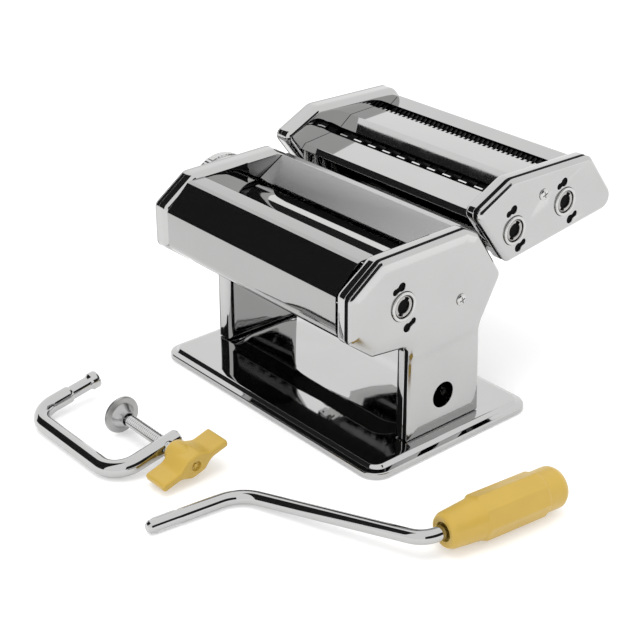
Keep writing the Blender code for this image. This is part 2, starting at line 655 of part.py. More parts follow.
def make_cutter_rollers(shop):
    teeth = 10
    sizes = (8.5, 11.1, 3.0, 1.3)
    for kind, axes in (("wide", WIDE_AXES), ("fine", FINE_AXES)):
        heading = math.atan2(axes[1][1] - axes[0][1], axes[1][0] - axes[0][0])
        for number, axis in enumerate(axes):
            right_end = GEAR_TO if number else FRAME_X + 1.5
            name = f"{kind}_cutter_{'rear' if number else 'front'}"
            if kind == "wide":
                shift = WIDE_PITCH / 4 * (1 if number else -1)
                profile = grooved_profile(CUTTER_RADIUS, CUTTER_GROOVE, WIDE_PITCH, shift,
                                          CUTTER_JOURNAL, right_end, FRAME_X + 1.0)
            else:
                profile = roller_profile(FINE_RADIUS, CUTTER_JOURNAL, right_end, FRAME_X + 1.0)
            turned(shop, name, profile, (0.0, *axis), "steel", steps=12 if kind == "wide" else 18)
            first_angle = heading + (math.pi + math.pi / teeth if number else 0.0)
            bore = CUTTER_JOURNAL + GAP if number else SOCKET_RADIUS
            make_gear(shop, f"{kind}_gear_{'rear' if number else 'front'}", axis, teeth, sizes,
                      first_angle, bore, hub=not number)
        middle = (Vector(axes[0]) + Vector(axes[1])) / 2
        lean = Matrix.Rotation(heading, 2)
        comb = [tuple(middle + lean @ Vector(corner)) for corner in COMB_SECTION]
        prism(shop, f"{kind}_comb", comb, -ROLLER_HALF, ROLLER_HALF, "black_plastic")


# ---------------------------------------------------------------- crank
def crank_frame():
    """The crank's own axes: across the throw, along the grip, and up from the table."""
    turn = Matrix.Rotation(-CRANK_TURN, 4, "Z") @ Matrix.Rotation(-CRANK_TILT, 4, "Y")
    return Matrix.Translation((*CRANK_TIP, CRANK_RADIUS)) @ turn


def make_crank(shop):
    frame = crank_frame()
    corners = [(CRANK_THROW * across, along, radius) for across, along, radius in CRANK_POINTS]
    line = fillet(corners, closed=False, per_arc=math.pi / 20)
    grip_axis = frame @ Vector((CRANK_THROW, GRIP_FROM, 0.0))
    points = [tuple(frame @ Vector((across, along, 0.0))) for across, along in line]
    tube(shop, "crank_rod", points, CRANK_RADIUS, "chrome", tuple(grip_axis))
    profile = [(9.2, 0.0), (10.2, -2.0), (12.6, -22.0), (GRIP_RADIUS, -23.5), (GRIP_RADIUS, -62.0),
               (12.4, -GRIP_LENGTH + 2.0), (10.5, -GRIP_LENGTH), (0.0, -GRIP_LENGTH),
               (0.0, -54.0), (4.6, -54.0), (4.6, -4.0), (6.6, -4.0), (6.6, 0.0)]
    towards_tip = frame.to_3x3() @ Vector((0.0, -1.0, 0.0))
    turn = towards_tip.to_track_quat("Z", "Y").to_euler()
    turned(shop, "crank_grip", profile, tuple(grip_axis), "yellow_plastic", steps=20, closed=True, turn=turn)


# ---------------------------------------------------------------- table clamp
def clamp_frame():
    """The clamp's own axes: X along the screw, Y from the back rod to the arm ends."""
    return Matrix.Translation((0.0, *CLAMP_SPINE)) @ Matrix.Rotation(CLAMP_TILT, 4, "X")


def make_clamp(shop):
    frame = clamp_frame()
    left, right = CLAMP_ARM_X
    screw_place = frame @ Vector((0.0, SCREW_ARM, 0.0))
    corners = ((left, CLAMP_ARM_LENGTH[0], 0), (left, 0.0, CLAMP_BEND), (right, 0.0, CLAMP_BEND),
               (right, CLAMP_ARM_LENGTH[1], 0))
    line = fillet(corners, closed=False, per_arc=math.pi / 18)
    points = [tuple(frame @ Vector((x, y, 0.0))) for x, y in line]
    bow = tube(shop, "clamp_bow", points, CLAMP_RADIUS, "chrome", (0.0, 0.0, 0.0))
    threaded = prism(shop, "clamp_thread_hole", circle(screw_place.yz, SCREW_RADIUS + GAP, 16),
                     right - 8, right + 8)
    shop.cut(bow, threaded)
    screw = rod_profile(SCREW_RADIUS, WING_X[1] - 4.0, PAD_X + 1.2)
    turned(shop, "clamp_screw", screw, tuple(screw_place), "steel", steps=16)
    socket = SCREW_RADIUS + GAP
    pad = [(6.0, PAD_X + 5.2), (7.0, PAD_X + 1.6), (PAD_RADIUS, PAD_X + 0.2), (PAD_RADIUS + 0.3, PAD_X - 2.4),
           (PAD_RADIUS - 0.8, PAD_X - 2.6), (0.0, PAD_X - 1.6), (0.0, PAD_X + 0.9), (socket, PAD_X + 0.9),
           (socket, PAD_X + 5.2)]
    turned(shop, "pressure_pad", pad, tuple(screw_place), "zinc", steps=24, closed=True)
    hub = turned(shop, "wing_knob", rod_profile(8.4, WING_X[1], WING_X[0]), tuple(screw_place), "yellow_plastic")
    plan = Matrix.Translation(screw_place) @ Matrix.Rotation(CLAMP_TILT, 4, "X")
    wing_corners = ((17.6, -WING_SPAN, 2.5), (38.4, -WING_SPAN, 2.5), (38.4, WING_SPAN, 2.5),
                    (17.6, WING_SPAN, 2.5))
    wings = prism(shop, "wing_knob_wings", fillet(wing_corners), -3.4, 3.4, frame=plan)
    shop.cut(hub, wings, "UNION")
    bore = turned(shop, "wing_knob_bore", rod_profile(SCREW_RADIUS + GAP, WING_X[1] - 3.6, WING_X[0] - 2),
                  tuple(screw_place), steps=16)
    shop.cut(hub, bore)


def main():
    shop = Workshop()
    make_base(shop)
    make_body_cheeks(shop)
    make_body_sheets(shop)
    make_hopper(shop)
    make_rollers(shop)
    make_gap_carriage(shop)
    make_adjuster(shop)
    make_mount_rails(shop)
    make_cutter_head(shop)
    make_cutter_rollers(shop)
    make_crank(shop)
    make_clamp(shop)
    bpy.context.view_layer.update()


main()
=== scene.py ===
"""Looks of the pasta roller machine: every visible piece remade in detail around the CAD frame.

Shapes are given in millimetres from the middle of the base tray, as in the design: X runs along
the rollers (+X is the crank side), Y to the back and Z up. place() turns such a point into metres.
"""
import math

import bmesh
import bpy
from mathutils import Matrix, Vector, geometry


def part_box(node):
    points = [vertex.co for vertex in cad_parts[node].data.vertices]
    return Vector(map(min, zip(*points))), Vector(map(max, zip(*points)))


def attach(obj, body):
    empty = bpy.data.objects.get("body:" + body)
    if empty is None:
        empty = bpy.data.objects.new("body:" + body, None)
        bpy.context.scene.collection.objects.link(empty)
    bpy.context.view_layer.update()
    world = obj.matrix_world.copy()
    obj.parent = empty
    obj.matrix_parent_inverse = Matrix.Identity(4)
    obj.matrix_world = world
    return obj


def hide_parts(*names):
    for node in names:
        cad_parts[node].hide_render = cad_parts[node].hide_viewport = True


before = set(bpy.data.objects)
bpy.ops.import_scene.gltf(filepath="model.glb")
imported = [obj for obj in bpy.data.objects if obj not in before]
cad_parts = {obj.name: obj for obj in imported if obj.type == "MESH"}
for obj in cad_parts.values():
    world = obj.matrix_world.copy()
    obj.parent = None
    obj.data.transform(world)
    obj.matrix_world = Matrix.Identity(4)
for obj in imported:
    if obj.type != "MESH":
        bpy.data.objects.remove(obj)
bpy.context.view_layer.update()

MM = 0.001
BASE_LOW, BASE_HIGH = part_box("base_tray")
HOME = Vector(((BASE_LOW[0] + BASE_HIGH[0]) / 2, (BASE_LOW[1] + BASE_HIGH[1]) / 2, 0.0))
BASE_SIZE = ((BASE_HIGH[0] - BASE_LOW[0]) / MM, (BASE_HIGH[1] - BASE_LOW[1]) / MM)
PLATFORM_FOOT = (154.0, 72.0)
PLATFORM_HEAD = (147.0, 43.0)
PLATFORM_RISE = 1.8
BASE_TOP = BASE_HIGH[2] / MM - PLATFORM_RISE
ARC = math.pi / 24             # the step along an outline's round corners
BEND_ARC = math.pi / 12        # the step along a profile's round edges
SMOOTH_ANGLE = 32              # edges sharper than this many degrees stay sharp


def place(x, y, z):
    """A point in metres, from millimetres measured from the middle of the base."""
    return HOME + Vector((x, y, z)) * MM


def node_box(node):
    """Lowest and highest corner of a CAD node, in millimetres from the middle of the base."""
    low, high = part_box(node)
    return (Vector(low) - HOME) / MM, (Vector(high) - HOME) / MM


def axis_of(node):
    """(y, z) of the axis of a CAD node that is turned around X."""
    low, high = node_box(node)
    return ((low.y + high.y) / 2, (low.z + high.z) / 2)


# ---- sizes shared by several pieces
FRAME_X = 81.3
INNER_X = 77.8
FRAME_RIM_X = 85.7
COVER_RIM_X = 88.1
COVER_FACE_X = 91.0
SHEET = 0.8
HOLE_EDGE = 0.3
RING_RADIUS = 8.8
SOCKET_HOLE = RING_RADIUS + 0.2
ROLLER_HALF = 75.0
GEAR_FROM = 83.2
GEAR_TO = 88.2
HUB_END = 91.2
SLOT_BACK_X = 89.8

BODY_OUTLINE = (
    (-28.6, 7.4, 1.0), (30.7, 7.4, 1.0), (28.0, 66.0, 18.0), (44.0, 94.0, 5.0), (23.2, 125.0, 6.0),
    (13.2, 130.6, 6.0), (-52.2, 130.0, 6.0), (-74.6, 114.1, 5.0), (-74.6, 87.4, 5.0),
    (-57.0, 73.8, 4.0), (-28.6, 70.6, 7.0),
)
CUTTER_OUTLINE = (
    (47.6, 99.5, 6.0), (146.0, 112.0, 8.0), (116.8, 149.6, 8.0), (48.4, 151.1, 10.0), (19.5, 137.1, 5.0),
)
DRIVE_AXIS = axis_of("drive_roller")
REAR_AXIS = axis_of("rear_roller")
ADJUSTER_AXIS = axis_of("thickness_knob")
WIDE_AXES = (axis_of("wide_cutter_front"), axis_of("wide_cutter_rear"))
FINE_AXES = (axis_of("fine_cutter_front"), axis_of("fine_cutter_rear"))
BODY_SCREW = axis_of("cover_screw_right")
CUTTER_SCREW = axis_of("cutter_screw_right")
CLAMP_HOLE = (-0.6, 29.5)
BODY_SLOTS = (((-37.1, 110.9), (-41.9, 109.0)), ((-32.4, 84.4), (-27.6, 87.2)))
CUTTER_SLOTS = (
    ((50.7, 132.6), (46.5, 130.8)), ((56.3, 107.3), (60.6, 109.7)),
    ((93.8, 138.5), (89.6, 136.7)), ((101.3, 112.8), (105.6, 115.2)),
)
CREASE = ((-21.0, 61.0), (23.0, 64.0))
KEYHOLE_BIG = 2.7
KEYHOLE_SMALL = 1.95
KEYHOLE_NECK = 1.6             # half the width between the two circles


# ---- materials
def set_inputs(node, values):
    """Sets a node's sockets by their names."""
    for name, value in values.items():
        node.inputs[name].default_value = value


def noise_value(tree, scale, stretch=(1.0, 1.0, 1.0), detail=3.0, low=0.0, high=1.0):
    """A noise in object coordinates, mapped to low..high; scale is in bumps per metre."""
    coordinates = tree.nodes.new("ShaderNodeTexCoord")
    mapping = tree.nodes.new("ShaderNodeMapping")
    mapping.inputs["Scale"].default_value = stretch
    noise = tree.nodes.new("ShaderNodeTexNoise")
    set_inputs(noise, {"Scale": scale, "Detail": detail})
    spread = tree.nodes.new("ShaderNodeMapRange")
    set_inputs(spread, {"From Min": 0.3, "From Max": 0.7, "To Min": low, "To Max": high})
    tree.links.new(coordinates.outputs["Object"], mapping.inputs["Vector"])
    tree.links.new(mapping.outputs["Vector"], noise.inputs["Vector"])
    tree.links.new(noise.outputs["Fac"], spread.inputs["Value"])
    return spread.outputs["Result"]


def two_tone(tree, amount, first, second):
    """A colour between two others, mixed by the amount socket."""
    mix = tree.nodes.new("ShaderNodeMix")
    mix.data_type = "RGBA"
    set_inputs(mix, {"A": (*first, 1.0), "B": (*second, 1.0)})
    tree.links.new(amount, mix.inputs["Factor"])
    return mix.outputs["Result"]


def add_bumps(tree, shader, layers):
    """Chains bump nodes; each layer is (height socket, depth in metres, strength)."""
    previous = None
    for height, depth, strength in layers:
        bump = tree.nodes.new("ShaderNodeBump")
        set_inputs(bump, {"Distance": depth, "Strength": strength})
        tree.links.new(height, bump.inputs["Height"])
        if previous is not None:
            tree.links.new(previous, bump.inputs["Normal"])
        previous = bump.outputs["Normal"]
    tree.links.new(previous, shader.inputs["Normal"])


def new_material(name):
    """A material with its node tree and its shader."""
    made = bpy.data.materials.new(name)
    made.use_nodes = True
    return made, made.node_tree, made.node_tree.nodes["Principled BSDF"]


def metal(name, colour, shade, smooth, rough, streak=(1.0, 1.0, 1.0), waves=0.0, scratches=0.02):
    """Bare or plated metal: slight tone changes, patchy polish, pressing waves and fine scratches."""
    made, tree, shader = new_material(name)
    shader.inputs["Metallic"].default_value = 1.0
    tone = noise_value(tree, 35.0, detail=4.0)
    darker = tuple(channel * shade for channel in colour)
    tree.links.new(two_tone(tree, tone, colour, darker), shader.inputs["Base Color"])
    polish = noise_value(tree, 60.0, streak, 5.0, smooth, rough)
    tree.links.new(polish, shader.inputs["Roughness"])
    layers = [(noise_value(tree, 900.0, streak, 2.0), 0.00002, scratches)]
    if waves:
        layers.insert(0, (noise_value(tree, 14.0, detail=1.0), 0.0012, waves))
    add_bumps(tree, shader, layers)
    return made


def plastic(name, colour, shade, roughness, grain, gloss=0.4):
    """Moulded plastic with faint flow marks and a fine moulded grain."""
    made, tree, shader = new_material(name)
    tone = noise_value(tree, 45.0, detail=3.0)
    darker = tuple(channel * shade for channel in colour)
    tree.links.new(two_tone(tree, tone, colour, darker), shader.inputs["Base Color"])
    tree.links.new(noise_value(tree, 120.0, detail=2.0, low=roughness * 0.85, high=roughness * 1.15),
                   shader.inputs["Roughness"])
    shader.inputs["Specular IOR Level"].default_value = gloss
    add_bumps(tree, shader, [(noise_value(tree, 90.0, detail=1.0), 0.0004, 0.06),
                             (noise_value(tree, 2600.0, detail=1.0), 0.00003, grain)])
    return made


ALONG_X = (0.04, 1.0, 1.0)
CHROME = metal("polished_chrome", (0.45, 0.45, 0.447), 0.97, 0.02, 0.05, waves=0.04, scratches=0.012)
# Painted shade: a darker copy of chrome for the front panel, which shows a darker reflection
SHADED_CHROME = metal("painted_shade_chrome", (0.345, 0.345, 0.342), 0.97, 0.02, 0.05, waves=0.04, scratches=0.012)
FACE_CHROME = metal("satin_chrome", (0.43, 0.43, 0.427), 0.97, 0.08, 0.13, waves=0.03, scratches=0.02)
ROLLER_CHROME = metal("roller_chrome", (0.50, 0.50, 0.496), 0.97, 0.03, 0.06, ALONG_X, scratches=0.015)
BRUSHED = metal("brushed_tray", (0.43, 0.43, 0.43), 0.97, 0.24, 0.28, ALONG_X, waves=0.02, scratches=0.03)
CUTTER_STEEL = metal("cutter_steel", (0.012, 0.012, 0.012), 0.93, 0.2, 0.3, scratches=0.03)
# Painted highlight: a brighter copy of chrome for the bright dashes over the wide cutter slot
HIGHLIGHT_CHROME = metal("painted_highlight_chrome", (0.62, 0.62, 0.615), 0.95, 0.1, 0.18, scratches=0.02)
STEEL = metal("turned_steel", (0.50, 0.50, 0.496), 0.93, 0.12, 0.22, scratches=0.04)
ZINC = metal("zinc_plate", (0.42, 0.42, 0.417), 0.88, 0.30, 0.42, scratches=0.08)
GEAR_STEEL = metal("gear_steel", (0.40, 0.39, 0.38), 0.8, 0.25, 0.4, scratches=0.05)
DARK_PLASTIC = plastic("dark_plastic", (0.025, 0.025, 0.026), 0.8, 0.4, 0.1)
YELLOW = plastic("yellow_plastic", (0.46, 0.305, 0.052), 0.94, 0.34, 0.06)
RUBBER = plastic("black_rubber", (0.03, 0.03, 0.031), 0.75, 0.75, 0.2)
# Painted shade: black for the gap at the right seam, the plates behind the slots and the bottom of the crank
# socket
SHADE_BLACK = plastic("painted_shade_black", (0.004, 0.004, 0.004), 0.8, 0.7, 0.05, gloss=0.05)
# Painted shade: black for the bottoms of the cutter grooves
GROOVE_SHADE = plastic("painted_groove_shade", (0.006, 0.006, 0.006), 0.8, 0.6, 0.05, gloss=0.1)


# ---- outlines
def fillet(corners, closed=True, per_arc=ARC):
    """Points along a polygon whose corners (y, z, radius) are rounded with arcs."""
    points = []
    count = len(corners)
    for index, (y, z, radius) in enumerate(corners):
        here = Vector((y, z))
        if not closed and index in (0, count - 1):
            points.append(here)
            continue
        before = (Vector(corners[index - 1][:2]) - here).normalized()
        after = (Vector(corners[(index + 1) % count][:2]) - here).normalized()
        half = before.angle(after) / 2
        steps = max(1, round((math.pi - 2 * half) / per_arc))
        middle = here + (before + after).normalized() * (radius / math.sin(half))
        start = here + before * (radius / math.tan(half)) - middle
        turn = (math.pi - 2 * half) / steps
        if before.x * after.y - before.y * after.x > 0:
            turn = -turn
        for step in range(steps + 1):
            points.append(middle + Matrix.Rotation(turn * step, 2) @ start)
    return [(point.x, point.y) for point in points]


def inset(corners, distance):
    """The same corners with every edge of the anticlockwise polygon moved inwards."""
    count = len(corners)
    moved = []
    for index, (y, z, radius) in enumerate(corners):
        here = Vector((y, z))
        into = (here - Vector(corners[index - 1][:2])).normalized()
        out = (Vector(corners[(index + 1) % count][:2]) - here).normalized()
        normal_in = Vector((-into.y, into.x))
        normal_out = Vector((-out.y, out.x))
        shift = (normal_in + normal_out) * (distance / (1 + normal_in.dot(normal_out)))
        convex = into.x * out.y - into.y * out.x > 0
        new_radius = max(radius - distance, 0.6) if convex else radius + distance
        moved.append((y + shift.x, z + shift.y, new_radius))
    return moved


def round_profile(corners, closed=False, per_arc=BEND_ARC):
    """A profile whose corners (radius, height, rounding) are rounded."""
    return fillet(corners, closed, per_arc)


def circle(centre, radius, steps=64):
    """Points around a circle."""
    return [(centre[0] + radius * math.cos(2 * math.pi * step / steps),
             centre[1] + radius * math.sin(2 * math.pi * step / steps)) for step in range(steps)]


def keyhole(big, small, grow, steps=16):
    """Outline around a large and a small circle, as in a bayonet slot."""
    points = []
    heading = math.atan2(big[1] - small[1], big[0] - small[0])
    ends = ((big, KEYHOLE_BIG + grow, heading), (small, KEYHOLE_SMALL + grow, heading + math.pi))
    for centre, radius, facing in ends:
        reach = math.pi - math.asin((KEYHOLE_NECK + grow) / radius)
        for step in range(steps + 1):
            angle = facing + reach * (2 * step / steps - 1)
            points.append((centre[0] + radius * math.cos(angle), centre[1] + radius * math.sin(angle)))
    return points


# ---- mesh helpers
def bridge(bm, lower, upper):
    """Faces between two closed rings of vertices."""
    for index in range(len(lower)):
        after = (index + 1) % len(lower)
        bm.faces.new((lower[index], lower[after], upper[after], upper[index]))


def add_loft(bm, rings, cap_start=False, cap_end=False, closed_path=False):
    """Faces between rings of metre points; rings are closed loops of equal length."""
    rows = [[bm.verts.new(point) for point in ring] for ring in rings]
    for lower, upper in zip(rows, rows[1:]):
        bridge(bm, lower, upper)
    if closed_path:
        bridge(bm, rows[-1], rows[0])
    if cap_start:
        bm.faces.new(list(reversed(rows[0])))
    if cap_end:
        bm.faces.new(rows[-1])
    return rows


def face_outwards(bm, face, outwards):
    """Turns all normals of a mesh so that one of its faces looks along a direction."""
    bmesh.ops.recalc_face_normals(bm, faces=bm.faces)
    bm.normal_update()
    if face.normal.dot(Vector(outwards)) < 0:
        bmesh.ops.reverse_faces(bm, faces=bm.faces)


def add_to_scene(name, data):
    """A new object that shows a mesh, a light or a camera."""
    obj = bpy.data.objects.new(name, data)
    bpy.context.scene.collection.objects.link(obj)
    return obj


def new_object(name, bm, material, smooth=SMOOTH_ANGLE, recalc=True):
    """An object from a bmesh, smooth but for edges sharper than an angle in degrees."""
    if recalc:
        bmesh.ops.recalc_face_normals(bm, faces=bm.faces)
    mesh = bpy.data.meshes.new(name)
    bm.to_mesh(mesh)
    bm.free()
    mesh.materials.append(material)
    mesh.shade_smooth()
    mesh.set_sharp_from_angle(angle=math.radians(smooth))
    return add_to_scene(name, mesh)


def lofted(name, rings, material, closed=False, smooth=SMOOTH_ANGLE):
    """A solid through rings: capped at both ends, or closed from the last ring to the first."""
    bm = bmesh.new()
    add_loft(bm, rings, not closed, not closed, closed)
    return new_object(name, bm, material, smooth)


def settle(obj, smooth=SMOOTH_ANGLE):
    """Turns an object's modifiers into its mesh."""
    mesh = bpy.data.meshes.new_from_object(obj.evaluated_get(bpy.context.evaluated_depsgraph_get()))
    obj.modifiers.clear()
    obj.data = mesh
    mesh.set_sharp_from_angle(angle=math.radians(smooth))


def thicken(obj, thickness, even=False, smooth=SMOOTH_ANGLE):
    """Gives an open mesh the thickness of its sheet, behind its face."""
    modifier = obj.modifiers.new("sheet", "SOLIDIFY")
    modifier.thickness = thickness * MM
    modifier.offset = -1.0
    modifier.use_even_offset = even
    settle(obj, smooth)


def cut(obj, tool):
    """Cuts one object out of another, and removes it."""
    modifier = obj.modifiers.new("cut", "BOOLEAN")
    modifier.solver = "EXACT"
    modifier.object = tool
    settle(obj)
    bpy.data.objects.remove(tool, do_unlink=True)


def join(obj, *others):
    """Adds other meshes to an object as they are."""
    bm = bmesh.new()
    bm.from_mesh(obj.data)
    for other in others:
        bm.from_mesh(other.data)
        bpy.data.objects.remove(other, do_unlink=True)
    bm.to_mesh(obj.data)
    bm.free()


def finished(obj, body, slot, *nodes):
    """Hands a piece over to the frame: it stands for its CAD nodes and rides on its body."""
    if nodes:
        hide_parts(*nodes)
    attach(obj, body)


def x_frame(centre, side=1):
    """Axes of a piece turned around X: local Z runs outwards on the given side."""
    turn = Matrix(((0, 0, side), (side, 0, 0), (0, 1, 0))).to_4x4()
    turn.translation = Vector((0.0, *centre))
    return turn


def turned(name, frame_of, profile, material, steps=72, closed=False, shape=None):
    """A (radius, height) profile turned around local Z; shape may change a radius by angle."""
    rings = []
    for radius, height in profile:
        ring = []
        for step in range(steps):
            angle = 2 * math.pi * step / steps
            reach = shape(angle, radius, height) if shape else radius
            local = Vector((reach * math.cos(angle), reach * math.sin(angle), height))
            ring.append(place(*(frame_of @ local)))
        rings.append(ring)
    return lofted(name, rings, material, closed)


def prism(name, outline, low, high, material, frame_of=None):
    """A flat outline extruded along X, or along local Z of a frame."""
    frame_of = frame_of or x_frame((0.0, 0.0))
    rings = [[place(*(frame_of @ Vector((a, b, height)))) for a, b in outline] for height in (low, high)]
    return lofted(name, rings, material)


def inside(point, outline):
    """Whether a (y, z) point lies within an outline."""
    found = False
    for first, second in zip(outline, outline[1:] + outline[:1]):
        if (first[1] > point[1]) != (second[1] > point[1]):
            crossing = first[0] + (point[1] - first[1]) * (second[0] - first[0]) / (second[1] - first[1])
            if point[0] < crossing:
                found = not found
    return found


def fill_face(bm, rim, outline, holes, side, x, inward):
    """Closes a pan's flat face around its holes, whose edges are rolled inwards."""
    verts = list(rim)
    points = list(outline)
    loops = [(0, len(outline))]
    steps = 4
    for outline_at in holes:
        rings = []
        for step in range(steps + 1):
            angle = math.pi / 2 * step / steps
            depth = HOLE_EDGE * (1 - math.cos(angle))
            ring = outline_at(HOLE_EDGE * (1 - math.sin(angle)))
            rings.append([place(side * (x + inward * depth), y, z) for y, z in ring])
        loops.append((len(points), len(rings[0])))
        points += outline_at(HOLE_EDGE)
        verts += add_loft(bm, rings)[0]
    edges = [(start + index, start + (index + 1) % count) for start, count in loops for index in range(count)]
    flat = geometry.delaunay_2d_cdt([Vector(point) for point in points], edges, [], 1, 1e-6)
    face = None
    for corners in flat[2]:
        middle = sum((flat[0][corner] for corner in corners), Vector((0.0, 0.0))) / len(corners)
        if any(inside(middle, outline_at(HOLE_EDGE)) for outline_at in holes):
            continue
        face = bm.faces.new([verts[flat[3][corner][0]] for corner in corners])
    return face


def pressed_pan(name, corners, section, side, material, thickness, holes=(), crease=None):
    """A sheet pressed into a pan: its wall follows section, a list of (inset, x, rounding)."""
    bm = bmesh.new()
    profile = round_profile(section, per_arc=math.pi / 16)
    outlines = [fillet(inset(corners, distance)) for distance, _ in profile]
    rings = [[place(side * x, y, z) for y, z in outline] for outline, (_, x) in zip(outlines, profile)]
    rows = add_loft(bm, rings)
    rim_x, face_x = section[0][1], section[-1][1]
    outward = 1 if face_x > rim_x else -1
    face = fill_face(bm, rows[-1], outlines[-1], holes, side, face_x, -outward)
    face_outwards(bm, face, (side * outward, 0.0, 0.0))
    if crease:
        press_crease(bm, crease, rim_x, face_x, side)
    pan = new_object(name, bm, material, recalc=False)
    thicken(pan, thickness, even=True)
    return pan


def press_crease(bm, line, rim_x, face_x, side):
    """Sets the part of a pan below a (y, z) line back by a soft step."""
    depth, width, cuts = 0.7, 3.2, 8
    start, end = (Vector(point) for point in line)
    run = (end - start).normalized()
    across = Vector((-run.y, run.x))
    for step in range(cuts + 1):
        offset = width * (2 * step / cuts - 1)
        point = start + across * offset
        bmesh.ops.bisect_plane(bm, geom=[*bm.verts, *bm.edges, *bm.faces], plane_co=place(0.0, *point),
                               plane_no=(0.0, *across))
    for vert in bm.verts:
        local = (vert.co - HOME) / MM
        distance = (Vector((local.y, local.z)) - start).dot(across)
        part = min(max((width - distance) / (2 * width), 0.0), 1.0)
        lift = min(max((side * local.x - rim_x) / (face_x - rim_x), 0.0), 1.0)
        vert.co.x -= side * depth * MM * lift * part * part * (3 - 2 * part)


def round_hole(centre, radius):
    """The outline of a round hole, as a function of how far it is grown."""
    return lambda grow: circle(centre, radius + grow)


def slot_hole(big, small):
    """The outline of a bayonet slot, as a function of how far it is grown."""
    return lambda grow: keyhole(big, small, grow)


def bent_sheet(name, corners, half_width, material):
    """A sheet bent along a (y, z, radius) line, its thickness on the left of the line's run."""
    line = round_profile(corners, per_arc=math.pi / 30)
    back = []
    for index, point in enumerate(line):
        before = Vector(line[max(index - 1, 0)])
        after = Vector(line[min(index + 1, len(line) - 1)])
        run = (after - before).normalized()
        back.append(tuple(Vector(point) + Vector((-run.y, run.x)) * SHEET))
    loop = line + list(reversed(back))
    bm = bmesh.new()
    for verts in add_loft(bm, [[place(x, y, z) for y, z in loop] for x in (-half_width, half_width)]):
        for index in range(len(line) - 1):
            bm.faces.new((verts[index], verts[index + 1], verts[-2 - index], verts[-1 - index]))
    return new_object(name, bm, material)


def swept(name, points, radius_at, material, sides=32, shape=None):
    """A round bar along millimetre points; radius_at gives its radius by distance along."""
    line = [Vector(point) for point in points]
    rings = []
    travelled = 0.0
    across = None
    for index, point in enumerate(line):
        before = line[max(index - 1, 0)]
        after = line[min(index + 1, len(line) - 1)]
        run = (after - before).normalized()
        if across is None:
            across = run.cross(Vector((0, 0, 1))).normalized()
        across = (across - run * across.dot(run)).normalized()
        other = run.cross(across)
        if index:
            travelled += (point - line[index - 1]).length
        radius = radius_at(travelled)
        ring = []
        for step in range(sides):
            angle = 2 * math.pi * step / sides
            reach = shape(angle, radius, travelled) if shape else radius
            ring.append(place(*(point + (across * math.cos(angle) + other * math.sin(angle)) * reach)))
        rings.append(ring)
    return lofted(name, rings, material)


def refine(points, spacing):
    """The same polyline with points no further apart than spacing."""
    result = [Vector(points[0])]
    for first, second in zip(points, points[1:]):
        first, second = Vector(first), Vector(second)
        steps = max(1, math.ceil((second - first).length / spacing))
        result += [first.lerp(second, step / steps) for step in range(1, steps + 1)]
    return result


# ---- base
BASE_CORNER = 12.0


def rectangle(size_x, size_y):
    """Corners of a rectangle around the middle of the base, rounded like the tray's."""
    signs = ((-1, -1), (1, -1), (1, 1), (-1, 1))
    return [(size_x / 2 * x, size_y / 2 * y, BASE_CORNER) for x, y in signs]


def make_base():
    """The pressed tray with its raised platform, and its four feet."""
    section = ((0.0, 1.0, 0.0), (0.0, 4.2, 1.1), (4.0, 4.9, 1.2), (5.6, BASE_TOP, 1.4), (9.5, BASE_TOP, 0.0))
    rings = []
    for distance, z in round_profile(section):
        rings.append([place(x, y, z) for x, y in fillet(inset(rectangle(*BASE_SIZE), distance))])
    steps = 14
    for step in range(steps + 1):
        part = step / steps
        size = [foot + (head - foot) * part for foot, head in zip(PLATFORM_FOOT, PLATFORM_HEAD)]
        z = BASE_TOP + PLATFORM_RISE * part * part * (3 - 2 * part)
        rings.append([place(x, y, z) for x, y in fillet(rectangle(*size))])
    bm = bmesh.new()
    add_loft(bm, rings, cap_end=True)
    bm.faces.ensure_lookup_table()
    face_outwards(bm, bm.faces[-1], (0.0, 0.0, 1.0))
    tray = new_object("base_pan", bm, CHROME, recalc=False)
    thicken(tray, SHEET)
    finished(tray, "machine", "chrome", "base_tray")
    for number in range(1, 5):
        low, high = node_box(f"rubber_foot_{number}")
        profile = round_profile((
            (0.5, high.z, 0.0), (7.0, high.z, 0.4), (6.4, 0.0, 1.2), (3.0, 0.0, 0.4), (2.4, 1.2, 0.4),
            (0.5, 1.2, 0.0)))
        upright = Matrix.Translation(((low.x + high.x) / 2, (low.y + high.y) / 2, 0.0))
        foot = turned(f"foot_{number}", upright, profile, RUBBER, 48)
        finished(foot, "machine", "rubber", f"rubber_foot_{number}")


# ---- cheeks
SEAM_INSET = 0.25
SEAM_DEPTH = 0.6
FRAME_SECTION = ((0.5, FRAME_RIM_X, 0.0), (0.0, FRAME_RIM_X - 0.4, 0.3), (0.0, INNER_X, 4.0),
                 (6.0, INNER_X, 0.0))
COVER_SECTION = ((0.5, COVER_RIM_X, 0.0), (0.0, COVER_RIM_X + 0.4, 0.3), (0.0, 89.1, 0.6), (1.4, 90.1, 2.4),
                 (5.4, COVER_FACE_X, 16.0), (9.4, COVER_FACE_X, 0.0))
CUTTER_COVER_SECTION = ((0.5, COVER_RIM_X, 0.0), (0.0, COVER_RIM_X + 0.4, 0.3), (0.0, 89.2, 0.6),
                        (0.7, 90.0, 0.9), (2.2, COVER_FACE_X, 1.8), (2.8, COVER_FACE_X, 0.0))


